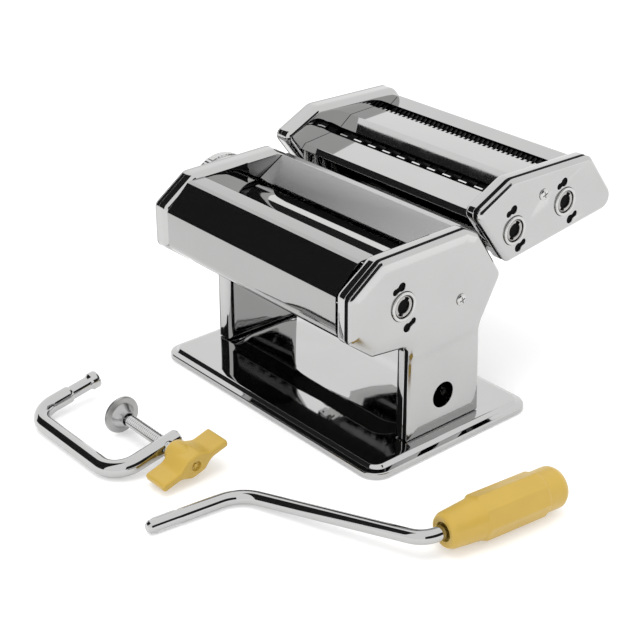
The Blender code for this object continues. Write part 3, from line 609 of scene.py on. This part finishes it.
def make_seam(name, corners, side, body):
    """The joint between a frame's rim and its cover: a black band of painted shade for the gap on the right,
    plain chrome on the left.
    """
    outer, inner = (fillet(inset(corners, SEAM_INSET + deeper)) for deeper in (0.0, SEAM_DEPTH))
    low, high = FRAME_RIM_X - 0.6, COVER_RIM_X + 0.4
    rings = []
    for outline, x in ((outer, low), (outer, high), (inner, high), (inner, low)):
        rings.append([place(side * x, y, z) for y, z in outline])
    # The right seam is painted shade: black where the gap between rim and cover is seen dark
    material, slot = (SHADE_BLACK, "black_plastic") if side > 0 else (CHROME, "chrome")
    finished(lofted(name, rings, material, closed=True), body, slot)


def make_frame(name, corners, side, holes, body, cad_node):
    """The inner pan of a cheek, with the seam to its cover."""
    cuts = [round_hole(centre, radius) for centre, radius in holes]
    pan = pressed_pan(name, corners, FRAME_SECTION, side, CHROME, 1.2, cuts)
    finished(pan, body, "chrome", cad_node)
    make_seam(name + "_seam", corners, side, body)


def make_cover(name, corners, side, holes, slots, body, cad_node, section=COVER_SECTION, crease=CREASE):
    """The outer pan of a cheek, with a black plate of painted shade behind each of its slots."""
    cuts = [round_hole(centre, radius) for centre, radius in holes]
    cuts += [slot_hole(big, small) for big, small in slots]
    pan = pressed_pan(name, corners, section, side, FACE_CHROME, SHEET, cuts, crease)
    finished(pan, body, "chrome", cad_node)
    for number, (big, small) in enumerate(slots):
        # painted shade: a black plate so each slot looks into darkness
        behind = prism(f"{name}_slot_{number}", keyhole(big, small, 0.8), side * SLOT_BACK_X,
                       side * (SLOT_BACK_X + 0.3), SHADE_BLACK)
        finished(behind, body, "black_plastic")


def make_screw(name, centre, side, body, cad_node):
    """A domed cover screw with a cross recess."""
    profile = round_profile((
        (0.3, 92.3, 0.0), (2.6, 92.0, 1.5), (4.0, 91.2, 0.3), (3.6, 91.05, 0.0), (1.7, 91.05, 0.2),
        (1.7, 84.0, 0.2), (0.3, 84.0, 0.0)))
    screw = turned(name, x_frame(centre, side), profile, STEEL, 48)
    long, narrow = 2.1, 0.42
    cross = []
    for quarter in range(4):
        turn = Matrix.Rotation(0.3 + math.pi / 2 * quarter, 2)
        for corner in ((narrow, narrow), (long, narrow), (long, -narrow)):
            point = turn @ Vector((corner[0], -corner[1]))
            cross.append((centre[0] + point.x, centre[1] + point.y))
    cut(screw, prism(name + "_cross", cross, side * 91.35, side * 94.0, STEEL))
    finished(screw, body, "steel", cad_node)


def make_socket_ring(name, centre, body, cad_node):
    """The collar around a crank socket."""
    profile = round_profile((
        (RING_RADIUS, 92.0, 0.5), (RING_RADIUS, 89.8, 0.2), (10.8, 89.8, 0.2), (10.8, 88.6, 0.2),
        (7.0, 88.6, 0.2), (7.0, 92.0, 0.4)), closed=True)
    ring = turned(name, x_frame(centre), profile, STEEL, 96, closed=True)
    finished(ring, body, "steel", cad_node)


def make_body_cheeks():
    """Both cheeks of the machine's body."""
    for side, label in ((1, "right"), (-1, "left")):
        bores = [(DRIVE_AXIS, 6.5), (ADJUSTER_AXIS, 8.2 if side > 0 else 7.0)]
        holes = [(BODY_SCREW, 2.2)]
        if side > 0:
            bores.append((CLAMP_HOLE, 6.6))
            holes += [(CLAMP_HOLE, 8.2), (DRIVE_AXIS, SOCKET_HOLE)]
        else:
            holes.append((ADJUSTER_AXIS, 6.0))
        make_frame(f"side_frame_{label}", BODY_OUTLINE, side, bores, "machine", f"frame_{label}")
        make_cover(f"side_cover_{label}", BODY_OUTLINE, side, holes, BODY_SLOTS if side > 0 else (),
                   "machine", f"cover_{label}")
        make_screw(f"cover_bolt_{label}", BODY_SCREW, side, "machine", f"cover_screw_{label}")
    make_socket_ring("drive_collar", DRIVE_AXIS, "machine", "socket_ring")


# ---- body sheets
def make_body_sheets():
    """The bent sheets and the tie rods between the body's cheeks."""
    half = INNER_X - 0.3
    front = ((-32.2, 115.5, 0), (-45.2, 127.5, 1.5), (-55.3, 127.5, 1.5), (-57.9, 126.7, 1.0),
             (-73.8, 111.6, 2.5), (-73.8, 88.0, 9.0), (-59.0, 76.0, 8.0), (-44.0, 76.6, 0))
    # the front panel uses the darker chrome copy as painted shade
    sheet = bent_sheet("front_panel", front, half, SHADED_CHROME)
    finished(sheet, "machine", "chrome", "front_cover")
    rear = ((24.0, 75.0, 0), (40.3, 95.3, 3.0), (22.4, 123.2, 2.0), (18.0, 123.2, 0))
    sheet = bent_sheet("rear_panel", rear, half, CHROME)
    finished(sheet, "machine", "chrome", "rear_cover")
    for node_name in ("tie_rod_front", "tie_rod_rear"):
        profile = round_profile(((0.5, half, 0.0), (4.0, half, 0.5), (4.0, -half, 0.5), (0.5, -half, 0.0)))
        rod = turned("cross_" + node_name, x_frame(axis_of(node_name)), profile, STEEL, 48)
        finished(rod, "machine", "steel", node_name)


def make_hopper():
    """The loose feed tray: a sloping plate with a rolled top edge and a folded wing at each end."""
    half = INNER_X - 0.5
    bottom_half = 71.5
    slope = fillet(((-0.5, 114.2, 0), (17.5, 126.7, 1.2), (21.7, 126.9, 0.8), (22.2, 125.8, 0)), closed=False)
    wing = (-1.0, 115.5)
    bm = bmesh.new()
    rows = []
    for index, (y, z) in enumerate(slope):
        reach = half if index else bottom_half
        rows.append([bm.verts.new(place(x, y, z)) for x in (-reach, reach)])
    for lower, upper in zip(rows, rows[1:]):
        bm.faces.new((lower[0], lower[1], upper[1], upper[0]))
    for end, x in enumerate((-half, half)):
        bm.faces.new((bm.verts.new(place(x, *wing)), rows[0][end], rows[1][end]))
    bm.faces.ensure_lookup_table()
    face_outwards(bm, bm.faces[0], (0.0, 0.0, 1.0))
    plate = new_object("hopper_plate", bm, BRUSHED, smooth=20, recalc=False)
    thicken(plate, SHEET, smooth=20)
    finished(plate, "hopper", "chrome", "feed_tray")


# ---- rollers and gears
ROLLER_RADIUS = 14.35
JOURNAL = 6.0


def tooth_reach(angle, teeth, root, tip, first):
    """Radius of a rounded gear outline at an angle."""
    phase = math.cos(teeth * (angle - first))
    blend = min(max(phase * 1.6 + 0.08, 0.0), 1.0)
    return root + (tip - root) * blend


def make_gear(name, centre, teeth, root, tip, first, bore, body, cad_node, hub=False):
    """A spur gear; first is the angle of a tooth, and hub adds a socket for the crank."""
    def shape(angle, radius, height):
        return tooth_reach(angle, teeth, root, tip, first) if radius > tip - 0.7 else radius

    corners = [(tip - 0.5, GEAR_FROM), (tip, GEAR_FROM + 0.4), (tip, GEAR_TO - 0.4), (tip - 0.5, GEAR_TO),
               (bore, GEAR_TO), (bore, GEAR_FROM)]
    gear = turned(name, x_frame(centre), corners, GEAR_STEEL, teeth * 16, closed=True, shape=shape)
    if hub:
        join(gear, make_keyed_hub(name + "_hub", centre))
        make_dark_plug(name + "_bottom", centre, body)
    finished(gear, body, "gear_steel", cad_node)


def make_keyed_hub(name, centre):
    """The hub that takes the crank: a round bore with two key notches."""
    def shape(angle, radius, height):
        if radius > 5.5:
            return radius
        notch = abs(math.cos(angle - 1.1))
        return radius + (1.3 if notch > 0.94 else 0.0)

    profile = [(6.4, GEAR_FROM + 1.0), (6.4, HUB_END - 0.3), (6.1, HUB_END), (4.6, HUB_END),
               (4.4, HUB_END - 0.2), (4.4, GEAR_FROM + 1.0)]
    return turned(name, x_frame(centre), profile, STEEL, 180, closed=True, shape=shape)


def make_dark_plug(name, centre, body):
    """The unlit bottom of a crank socket."""
    profile = [(0.3, HUB_END - 1.2), (6.2, HUB_END - 1.2), (6.2, HUB_END - 1.6), (0.3, HUB_END - 1.6)]
    finished(turned(name, x_frame(centre), profile, SHADE_BLACK, 32), body, "gear_steel")


def roller_profile(right_end, left_end):
    """A pasta roller's profile, with a journal that reaches to right_end and left_end."""
    return round_profile((
        (0.4, right_end, 0.0), (JOURNAL, right_end, 0.5), (JOURNAL, ROLLER_HALF, 0.3),
        (ROLLER_RADIUS, ROLLER_HALF, 0.8), (ROLLER_RADIUS, -ROLLER_HALF, 0.8), (JOURNAL, -ROLLER_HALF, 0.3),
        (JOURNAL, -left_end, 0.5), (0.4, -left_end, 0.0)))


def make_rollers():
    """The two pasta rollers and their gears."""
    drive = turned("drive_cylinder", x_frame(DRIVE_AXIS), roller_profile(FRAME_X + 1.5, FRAME_X + 1.0),
                   ROLLER_CHROME, 96)
    finished(drive, "drive", "chrome", "drive_roller")
    rear = turned("rear_cylinder", x_frame(REAR_AXIS), roller_profile(GEAR_TO, 78.0), ROLLER_CHROME, 96)
    finished(rear, "rear", "chrome", "rear_roller")
    teeth = 14
    make_gear("drive_spur_gear", DRIVE_AXIS, teeth, 12.4, 15.9, 0.0, 5.9, "drive", "drive_gear", hub=True)
    make_gear("rear_spur_gear", REAR_AXIS, teeth, 12.4, 15.9, math.pi / teeth, 6.3, "rear", "rear_gear")


# ---- cutter head
FINGER_SHEET = 0.5
CUTTER_JOURNAL = 5.0
WIDE_PITCH = 13.4
FINE_PITCH = 4.0


def disc_profile(radius, groove, pitch, shift, right_end, left_end, width):
    """A cutter roller's profile: sharp-edged discs with a shallow hollow tip."""
    profile = [(0.4, right_end), (CUTTER_JOURNAL, right_end), (CUTTER_JOURNAL, ROLLER_HALF),
               (groove, ROLLER_HALF)]
    hollow = radius - 0.15
    steps = ((groove, 2), (radius, 2), (hollow, 4), (hollow, -4), (radius, -2), (groove, -2))
    discs = int((2 * ROLLER_HALF - 2) // pitch)
    for disc in range(discs):
        middle = (discs - 1) * pitch / 2 - disc * pitch + shift
        profile += [(reach, middle + width / part) for reach, part in steps]
    profile += [(groove, -ROLLER_HALF), (CUTTER_JOURNAL, -ROLLER_HALF), (CUTTER_JOURNAL, -left_end),
                (0.4, -left_end)]
    return profile


def darken_grooves(roller, axis, reach):
    """Paints the bottoms of a cutter roller's grooves black, as painted shade in the recesses."""
    roller.data.materials.append(GROOVE_SHADE)
    centre = place(0.0, *axis)
    for face in roller.data.polygons:
        away = face.center - centre
        if math.hypot(away.y, away.z) < reach * MM:
            face.material_index = 1


def make_cutter_head():
    """The cheeks, collars and bent sheets of the cutter head."""
    half = INNER_X - 0.3
    bores = [(axis, 5.5) for axis in (*WIDE_AXES, *FINE_AXES)]
    for side, label in ((1, "right"), (-1, "left")):
        make_frame(f"head_frame_{label}", CUTTER_OUTLINE, side, bores, "cutter_head", f"cutter_frame_{label}")
        holes = [(CUTTER_SCREW, 2.2)]
        if side > 0:
            holes += [(WIDE_AXES[0], SOCKET_HOLE), (FINE_AXES[0], SOCKET_HOLE)]
        make_cover(f"head_cover_{label}", CUTTER_OUTLINE, side, holes, CUTTER_SLOTS if side > 0 else (),
                   "cutter_head", f"cutter_cover_{label}", CUTTER_COVER_SECTION, None)
        make_screw(f"head_bolt_{label}", CUTTER_SCREW, side, "cutter_head", f"cutter_screw_{label}")
    make_socket_ring("wide_collar", WIDE_AXES[0], "cutter_head", "wide_socket_ring")
    make_socket_ring("fine_collar", FINE_AXES[0], "cutter_head", "fine_socket_ring")
    sheets = (
        ("head_front_panel", "cutter_front_cover",
         ((58.0, 131.9, 0), (36.4, 129.5, 0.8), (33.4, 126.4, 0.8), (35.4, 118.0, 4.0), (46.5, 103.5, 0))),
        ("head_middle_panel", "cutter_middle_cover",
         ((97.6, 138.8, 0), (96.9, 141.2, 1.0), (75.8, 140.2, 1.4), (67.0, 133.6, 0))),
        ("head_rear_panel", "cutter_rear_cover",
         ((129.0, 112.0, 0), (136.6, 119.0, 4.0), (119.8, 144.6, 2.0), (112.0, 139.4, 0))),
    )
    for name, cad_node, corners in sheets:
        finished(bent_sheet(name, corners, half, CHROME), "cutter_head", "chrome", cad_node)


def make_fingers(name, edge, tip, pitch, width, material):
    """A row of flat guide fingers from the edge of a cover sheet over a cutter slot."""
    bm = bmesh.new()
    count = int((2 * ROLLER_HALF - 2) // pitch)
    for number in range(count):
        middle = (number - (count - 1) / 2) * pitch
        rings = []
        for x in (middle - width / 2, middle + width / 2):
            rings.append([place(x, *edge), place(x, *tip), place(x, tip[0], tip[1] - FINGER_SHEET),
                          place(x, edge[0], edge[1] - FINGER_SHEET)])
        add_loft(bm, rings, True, True)
    finished(new_object(name, bm, material), "cutter_head", "chrome")


def make_cutter_rollers():
    """The two pairs of cutter rollers with their gears, and the fingers over their slots."""
    # the wide fingers carry painted highlights: brighter chrome for the dashes along the slot
    make_fingers("wide_fingers", (59.6, 132.3), (60.7, 132.55), WIDE_PITCH, 6.6, HIGHLIGHT_CHROME)
    make_fingers("fine_fingers", (96.4, 141.1), (98.4, 141.3), FINE_PITCH, 1.8, CHROME)
    teeth = 10
    kinds = (("wide", WIDE_AXES, WIDE_PITCH, 10.6, 9.2), ("fine", FINE_AXES, FINE_PITCH, 10.3, 8.9))
    for kind, axes, pitch, radius, groove in kinds:
        heading = math.atan2(axes[1][1] - axes[0][1], axes[1][0] - axes[0][0])
        for number, axis in enumerate(axes):
            end = "rear" if number else "front"
            body = f"{kind}_{end}"
            right_end = GEAR_TO if number else FRAME_X + 1.5
            shift = pitch / 4 * (1 if number else -1)
            profile = disc_profile(radius, groove, pitch, shift, right_end, FRAME_X + 1.0, pitch / 2 - 0.3)
            roller = turned(f"{kind}_disc_roller_{end}", x_frame(axis), profile, CUTTER_STEEL, 96)
            # painted shade in the groove bottoms
            darken_grooves(roller, axis, groove + 0.3)
            finished(roller, body, "steel", f"{kind}_cutter_{end}")
            first = heading + (math.pi + math.pi / teeth if number else 0.0)
            bore = 5.3 if number else 5.9
            make_gear(f"{kind}_spur_gear_{end}", axis, teeth, 8.5, 11.1, first, bore, body,
                      f"{kind}_gear_{end}", hub=not number)


# ---- thickness knob
KNOB_RIM = 24.6
KNOB_RIBS = 60


def make_knob():
    """The thickness knob with its spring, and the spindle with its eccentric pin."""
    axes = x_frame(ADJUSTER_AXIS, -1)
    low, high = node_box("thickness_knob")
    outer, inner = -low.x, -high.x

    def shape(angle, radius, height):
        if radius > KNOB_RIM - 0.6:
            return radius - 0.25 * (0.5 + 0.5 * math.cos(KNOB_RIBS * angle))
        return radius

    rim, wall, band = KNOB_RIM, KNOB_RIM - 2.4, KNOB_RIM - 1.1
    profile = round_profile((
        (rim - 4.4, outer - 1.2, 0.5), (rim - 3.6, outer, 0.6), (rim - 0.8, outer, 0.8),
        (rim, outer - 1.6, 0.4), (rim, outer - 6.5, 0.2), (band, outer - 6.9, 0.3),
        (band, inner + 1.4, 0.3), (rim, inner + 1.0, 0.3), (rim, inner, 0.3), (wall, inner, 0.3),
        (wall, 100.0, 0.5), (5.4, 100.0, 0.2), (5.4, 102.0, 0.2), (7.4, 102.0, 0.2),
        (7.4, outer - 1.4, 0.4), (9.0, outer - 1.2, 0.3)), closed=True)
    knob = turned("dial_knob", axes, profile, STEEL, 360, closed=True, shape=shape)
    finished(knob, "knob", "steel", "thickness_knob")
    end = -node_box("adjuster_shaft")[0].x
    profile = round_profile((
        (0.4, end, 0.0), (6.9, end, 0.6), (6.9, 111.2, 0.2), (5.0, 111.2, 0.2), (5.0, 92.6, 0.2),
        (5.6, 92.6, 0.2), (5.6, 89.2, 0.2), (6.6, 89.2, 0.2), (6.6, FRAME_X - 0.1, 0.2),
        (0.4, FRAME_X - 0.1, 0.0)))
    shaft = turned("adjuster_spindle", axes, profile, STEEL, 64)
    slot = [(-0.6, -8.0), (0.6, -8.0), (0.6, 8.0), (-0.6, 8.0)]
    cut(shaft, prism("slot_cut", slot, end - 1.0, end + 2.0, STEEL, axes))
    pin = turned("pin", x_frame((ADJUSTER_AXIS[0] + 1.0, ADJUSTER_AXIS[1]), -1),
                 [(0.3, 82.0), (2.0, 82.0), (2.0, 79.6), (0.3, 79.6)], STEEL, 32)
    join(shaft, pin)
    finished(shaft, "adjuster", "steel", "adjuster_shaft")
    turns, per_turn, coil = 3, 24, 6.3
    points = []
    for step in range(turns * per_turn + 1):
        angle = 2 * math.pi * step / per_turn
        y, z = ADJUSTER_AXIS[0] + coil * math.cos(angle), ADJUSTER_AXIS[1] + coil * math.sin(angle)
        points.append((-(107.4 + 3.2 * step / (turns * per_turn)), y, z))
    spring = swept("knob_coil", points, lambda travelled: 0.5, STEEL, 12)
    finished(spring, "adjuster", "steel", "knob_spring")


# ---- crank
CRANK_TURN = math.radians(6.6)
CRANK_TILT = math.radians(5.2)
CRANK_RADIUS = 4.1
CRANK_THROW = 102.0
CRANK_CORNERS = ((0.0, 0.0, 0.0), (0.0, 58.0, 20.0), (1.0, 108.0, 14.0), (1.0, 170.0, 0.0))
GRIP_FROM = 119.5
GRIP_LENGTH = 80.0


def crank_frame():
    """The crank's own axes: across the throw, along the grip, and up from the table."""
    turn = Matrix.Rotation(-CRANK_TURN, 4, "Z") @ Matrix.Rotation(-CRANK_TILT, 4, "Y")
    tip = Vector((57.6, -189.5, CRANK_RADIUS))
    return Matrix.Translation(tip) @ turn


def make_crank():
    """The bent crank rod and its octagonal grip."""
    axes = crank_frame()
    corners = [(CRANK_THROW * across, along, radius) for across, along, radius in CRANK_CORNERS]
    line = fillet(corners, closed=False, per_arc=math.pi / 40)
    points = refine([axes @ Vector((across, along, 0.0)) for across, along in line], 1.6)
    tip_length = 19.0

    def radius_at(travelled):
        if travelled < 2.0:
            return CRANK_RADIUS - 0.35 - 1.4 * (1 - travelled / 2.0) ** 2
        if travelled < tip_length:
            return CRANK_RADIUS - 0.35
        return CRANK_RADIUS

    def shape(angle, radius, travelled):
        if 3.5 < travelled < tip_length - 1:
            wing = abs(math.cos(angle - 0.9))
            return radius + (0.55 if wing > 0.94 else -0.12)
        return radius

    rod = swept("crank_bar", points, radius_at, CHROME, 48, shape)
    finished(rod, "crank", "chrome", "crank_rod")

    sides, flat, corner_reach = 8, 12.35, 13.3

    def grip_shape(angle, radius, height):
        if radius < 12.7 or not -64.5 < height < -22.5:
            return radius
        part = (angle % (2 * math.pi / sides)) - math.pi / sides
        return min(flat / math.cos(part), radius)

    profile = round_profile((
        (6.6, -0.6, 0.8), (8.6, 0.0, 1.6), (10.3, -3.0, 2.8), (11.9, -21.6, 1.5),
        (corner_reach, -23.4, 0.5), (corner_reach, -63.8, 0.3), (12.0, -65.5, 0.5),
        (12.2, 4.0 - GRIP_LENGTH, 4.0), (9.8, -GRIP_LENGTH, 3.0), (0.3, -GRIP_LENGTH, 0.0),
        (0.3, -54.0, 0.0), (4.6, -54.0, 0.2), (4.6, -3.0, 0.2), (5.5, -3.0, 0.3),
        (5.5, -0.6, 0.3)), closed=True)
    grip_at = axes @ Vector((CRANK_THROW, GRIP_FROM, 0.0))
    towards_tip = axes.to_3x3() @ Vector((0.0, -1.0, 0.0))
    grip_frame = Matrix.Translation(grip_at) @ towards_tip.to_track_quat("Z", "Y").to_matrix().to_4x4()
    grip = turned("crank_handle", grip_frame, profile, YELLOW, 160, closed=True, shape=grip_shape)
    finished(grip, "grip", "yellow_plastic", "crank_grip")


# ---- table clamp
CLAMP_RADIUS = 5.25
CLAMP_SPINE = (-175.0, 5.25)
CLAMP_TILT = math.radians(10.6)
CLAMP_ARM_X = (-83.0, 5.6)
CLAMP_ARM_LENGTH = (47.0, 44.8)
SCREW_ARM = 35.5
SCREW_RADIUS = 3.8
PAD_X = -38.0
WING_LEAN = math.radians(16.0)


def clamp_frame():
    """The clamp's own axes: X along the screw, Y from the back rod to the arm ends."""
    return Matrix.Translation((0.0, *CLAMP_SPINE)) @ Matrix.Rotation(CLAMP_TILT, 4, "X")


def make_clamp():
    """The clamp's bent rod, then its screw, pad and wing knob."""
    axes = clamp_frame()
    left, right = CLAMP_ARM_X
    left_arm, right_arm = CLAMP_ARM_LENGTH
    corners = ((left, left_arm, 0), (left, 0.0, 15.0), (right, 0.0, 15.0), (right, right_arm, 0))
    line = fillet(corners, closed=False, per_arc=math.pi / 40)
    points = refine([axes @ Vector((x, y, 0.0)) for x, y in line], 1.0)
    length = sum((b - a).length for a, b in zip(points, points[1:]))

    def radius_at(travelled):
        if travelled < 0.8:
            return 5.0 + 0.5 * math.sqrt(max(0.0, 1 - (1 - travelled / 0.8) ** 2))
        if travelled < 5.0:
            return 5.5
        if travelled < 6.2:
            return 5.5 - 1.2 * (travelled - 5.0) / 1.2
        if travelled < 19.5:
            return 4.3
        if travelled < 20.8:
            return 4.3 + 0.95 * (travelled - 19.5) / 1.3
        if length - travelled < 0.9:
            return CLAMP_RADIUS - 0.8 * (1 - (length - travelled) / 0.9)
        return CLAMP_RADIUS

    bow = swept("clamp_bar", points, radius_at, CHROME, 48)
    screw_at = axes @ Vector((0.0, SCREW_ARM, 0.0))
    screw_yz = (screw_at.y, screw_at.z)
    cut(bow, prism("thread_bore", circle(screw_yz, SCREW_RADIUS + 0.35), right - 8, right + 8, CHROME))
    end_at = Matrix.Translation(axes @ Vector((left, left_arm, 0.0)))
    facing = (axes.to_3x3() @ Vector((0, 1, 0))).to_track_quat("Z", "Y").to_matrix().to_4x4()
    cut(bow, prism("end_bore", circle((0, 0), 2.4, 32), -2.2, 1.0, CHROME, end_at @ facing))
    finished(bow, "clamp", "chrome", "clamp_bow")
    make_clamp_screw(screw_yz)
    make_pad(screw_yz)
    make_wing(screw_yz)


def make_clamp_screw(centre):
    """The clamp's threaded rod, with a plain end in the pad."""
    low, high = node_box("clamp_screw")
    pitch, per_turn, depth, around = 1.6, 8, 0.6, 36

    def ring(x, radius, turn=None):
        points = []
        for step in range(around):
            angle = 2 * math.pi * step / around
            reach = radius
            if turn is not None:
                reach -= depth * abs(2 * ((turn - angle / (2 * math.pi)) % 1.0) - 1)
            points.append(place(x, centre[0] + reach * math.cos(angle), centre[1] + reach * math.sin(angle)))
        return points

    rings = [ring(low.x, 3.0), ring(low.x + 0.5, 3.3), ring(low.x + 7.0, 3.3)]
    for step in range(int((high.x - low.x - 8.0) / pitch * per_turn) + 1):
        turn = step / per_turn
        rings.append(ring(low.x + 7.5 + turn * pitch, SCREW_RADIUS, turn))
    screw = lofted("threaded_rod", rings, STEEL, smooth=25)
    finished(screw, "screw", "steel", "clamp_screw")


def make_pad(centre):
    """The pressure pad: a thin disc with a swaged cup that holds the screw's end."""
    def shape(angle, radius, height):
        if radius < 4.6 or radius > 7.4 or height < PAD_X + 0.6:
            return radius
        dent = max(0.0, math.cos(3 * (angle - 0.5)) - 0.55) / 0.45
        return radius - 1.1 * dent * (7.6 - radius) / 2.5

    profile = round_profile((
        (4.0, PAD_X + 6.4, 0.1), (4.6, PAD_X + 6.3, 0.3), (5.4, PAD_X + 4.0, 1.2), (7.2, PAD_X + 1.6, 1.0),
        (7.9, PAD_X + 0.2, 0.8), (11.3, PAD_X, 0.4), (11.7, PAD_X - 1.6, 0.3), (10.4, PAD_X - 2.2, 0.4),
        (0.4, PAD_X - 1.5, 0.0), (0.4, PAD_X + 0.9, 0.0), (4.0, PAD_X + 0.9, 0.2)), closed=True)
    pad = turned("pad_disc", x_frame(centre), profile, ZINC, 120, closed=True, shape=shape)
    finished(pad, "pad", "zinc", "pressure_pad")


def make_wing(centre):
    """The wing knob: a barrel that runs into two flat wings with a swelling at the middle."""
    reach, thick, bulge = 23.5, 2.4, 6.6
    corners = [(4.6, -bulge, 5.5), (11.0, -thick, 7.0), (reach, -thick, 1.8), (reach, thick, 1.8),
               (11.0, thick, 7.0), (4.6, bulge, 5.5)]
    corners += [(-across, -up, radius) for across, up, radius in corners]
    lean = Matrix.Translation((0.0, *centre)) @ Matrix.Rotation(WING_LEAN, 4, "X")
    low, high = node_box("wing_knob")
    start, end = low.x + 3.0, high.x - 2.6
    rings = []
    for distance, x in round_profile(((1.8, 17.8, 0.0), (0.0, 17.8, 1.6), (0.0, end, 1.6), (1.8, end, 0.0))):
        outline = fillet(inset(corners, distance), per_arc=math.pi / 16)
        rings.append([place(*(lean @ Vector((x, across, up)))) for across, up in outline])
    knob = lofted("wing_nut_knob", rings, YELLOW)
    axes = x_frame(centre)
    bore = SCREW_RADIUS + 0.3
    cut(knob, prism("bore", circle(centre, bore), start - 2, end - 4.0, YELLOW))
    recess = [(0.3, end + 1), (3.4, end + 1), (3.0, end - 1.4), (0.3, end - 1.4)]
    cut(knob, turned("recess", axes, recess, YELLOW, 48))
    profile = round_profile((
        (bore, start, 0.3), (7.2, start, 0.8), (7.9, start + 2.0, 2.0), (7.9, 24.0, 3.0), (6.0, 31.0, 2.0),
        (bore, 31.0, 0.2)), closed=True)
    barrel = turned("barrel", axes, profile, YELLOW, 96, closed=True)
    profile = round_profile((
        (0.3, end - 0.3, 0.0), (1.3, end - 0.5, 0.5), (1.5, end - 2.0, 0.0), (0.3, end - 2.0, 0.0)))
    nipple = turned("nipple", axes, profile, YELLOW, 32)
    join(knob, barrel, nipple)
    finished(knob, "screw", "yellow_plastic", "wing_knob")


# ---- pieces kept from the CAD
def paint_kept_nodes():
    """Gives the CAD nodes that stay their own materials and softened edges."""
    finishes = {
        DARK_PLASTIC: ("bearing_block_left", "bearing_block_right", "front_scraper", "rear_scraper",
                       "wide_comb", "fine_comb"),
        STEEL: ("mount_rail_left", "mount_rail_right", "mount_shoe_left", "mount_shoe_right"),
    }
    for material, names in finishes.items():
        for name in names:
            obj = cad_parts[name]
            for index in range(len(obj.material_slots)):
                obj.material_slots[index].material = material
            modifier = obj.modifiers.new("edges", "BEVEL")
            modifier.width = 0.3 * MM
            modifier.segments = 2


# ---- studio
WORLD_STRENGTH = 1.3
FLOOR_GLOW = 0.32
CARD_GLOW = 1.48


def make_studio():
    """A white world and a pale floor that glows a little, so that its shadows stay light."""
    scene = bpy.context.scene
    scene.view_settings.view_transform = "Standard"
    world = bpy.data.worlds.new("studio")
    scene.world = world
    world.use_nodes = True
    background = world.node_tree.nodes["Background"]
    set_inputs(background, {"Color": (1.0, 1.0, 1.0, 1.0), "Strength": WORLD_STRENGTH})

    bm = bmesh.new()
    bmesh.ops.create_grid(bm, x_segments=1, y_segments=1, size=6.0)
    paper, tree, shader = new_material("floor_paper")
    shade = noise_value(tree, 3.0, detail=2.0)
    tree.links.new(two_tone(tree, shade, (0.73, 0.73, 0.73), (0.72, 0.72, 0.72)), shader.inputs["Base Color"])
    set_inputs(shader, {"Emission Color": (1.0, 1.0, 1.0, 1.0), "Emission Strength": FLOOR_GLOW,
                        "Roughness": 0.9, "Specular IOR Level": 0.0})
    floor = new_object("floor", bm, paper)
    floor.location.z = -0.0003


def make_cards():
    """The dark and bright cards that the chrome reflects."""
    black, _, shader = new_material("black_card")
    set_inputs(shader, {"Base Color": (0.02, 0.02, 0.02, 1.0), "Roughness": 1.0, "Specular IOR Level": 0.0})
    far, first, last = 4.0, math.radians(98.5), math.radians(177)
    arc = [first + (last - first) * step / 12 for step in range(13)]
    add_card("front_card", black, [(far * math.cos(angle), 0.11 + far * math.sin(angle)) for angle in arc],
             (-8.0, -0.5))
    add_card("side_card", black, [(-1.6, 0.2), (-1.6, 2.0)], (2.5, 2.5), depth=2.9)
    bright, _, shader = new_material("bright_card")
    set_inputs(shader, {"Base Color": (0.0, 0.0, 0.0, 1.0), "Emission Color": (1.0, 1.0, 1.0, 1.0),
                        "Emission Strength": CARD_GLOW})
    add_card("floor_glow", bright, [(-0.4, 0.001), (0.8, 0.001)], (0.34, 1.3))
    # Painted shade: black cards inside the machine, so reflections see black under the body and in the gap
    # below the hopper
    add_card("under_body_shade_card", black, [(-0.060, 0.072), (0.024, 0.072)], (-0.080, 0.080))
    add_card("over_rollers_shade_card", black, [(0.0003, 0.1139), (-0.0028, 0.1225), (-0.002, 0.132)], (-0.066, 0.075))


def add_card(name, material, line, span, depth=0.0):
    """A card drawn along a (y, z) line and over a span of X, in metres, seen only in reflections."""
    bm = bmesh.new()
    ends = ((span[0], 0.0), (span[1], depth))
    rows = [[bm.verts.new(HOME + Vector((x, y + deeper, z))) for x, deeper in ends] for y, z in line]
    for lower, upper in zip(rows, rows[1:]):
        bm.faces.new((lower[0], lower[1], upper[1], upper[0]))
    card = new_object(name, bm, material)
    card.visible_camera = False
    card.visible_diffuse = False
    card.visible_shadow = False
    card.visible_transmission = False


def add_area_light(name, position, target, size, power):
    """A soft disc of light that reflections don't show."""
    light = bpy.data.lights.new(name, "AREA")
    light.shape = "DISK"
    light.size = size
    light.energy = power
    obj = add_to_scene(name, light)
    obj.location = position
    obj.rotation_euler = (Vector(target) - Vector(position)).to_track_quat("-Z", "Y").to_euler()
    obj.visible_glossy = False


def make_camera():
    """The camera, in front of the machine's right and looking down at it."""
    data = bpy.data.cameras.new("camera")
    camera = add_to_scene("camera", data)
    azimuth, elevation = math.radians(49.27), math.radians(26.97)
    back = Vector((math.sin(azimuth) * math.cos(elevation), -math.cos(azimuth) * math.cos(elevation),
                   math.sin(elevation)))
    camera.location = place(610.2, -543.4, 459.2)
    camera.rotation_euler = (-back).to_track_quat("-Z", "Y").to_euler()
    data.sensor_width = 36.0
    data.lens = 82.81
    data.clip_start = 0.01
    data.clip_end = 50.0
    bpy.context.scene.camera = camera


make_camera()
make_studio()
make_cards()
add_area_light("top_light", (0.1, -0.3, 1.4), (0.0, 0.0, 0.05), 0.9, 6.0)
make_base()
make_body_cheeks()
make_body_sheets()
make_hopper()
make_rollers()
make_cutter_head()
make_cutter_rollers()
make_knob()
make_crank()
make_clamp()
paint_kept_nodes()
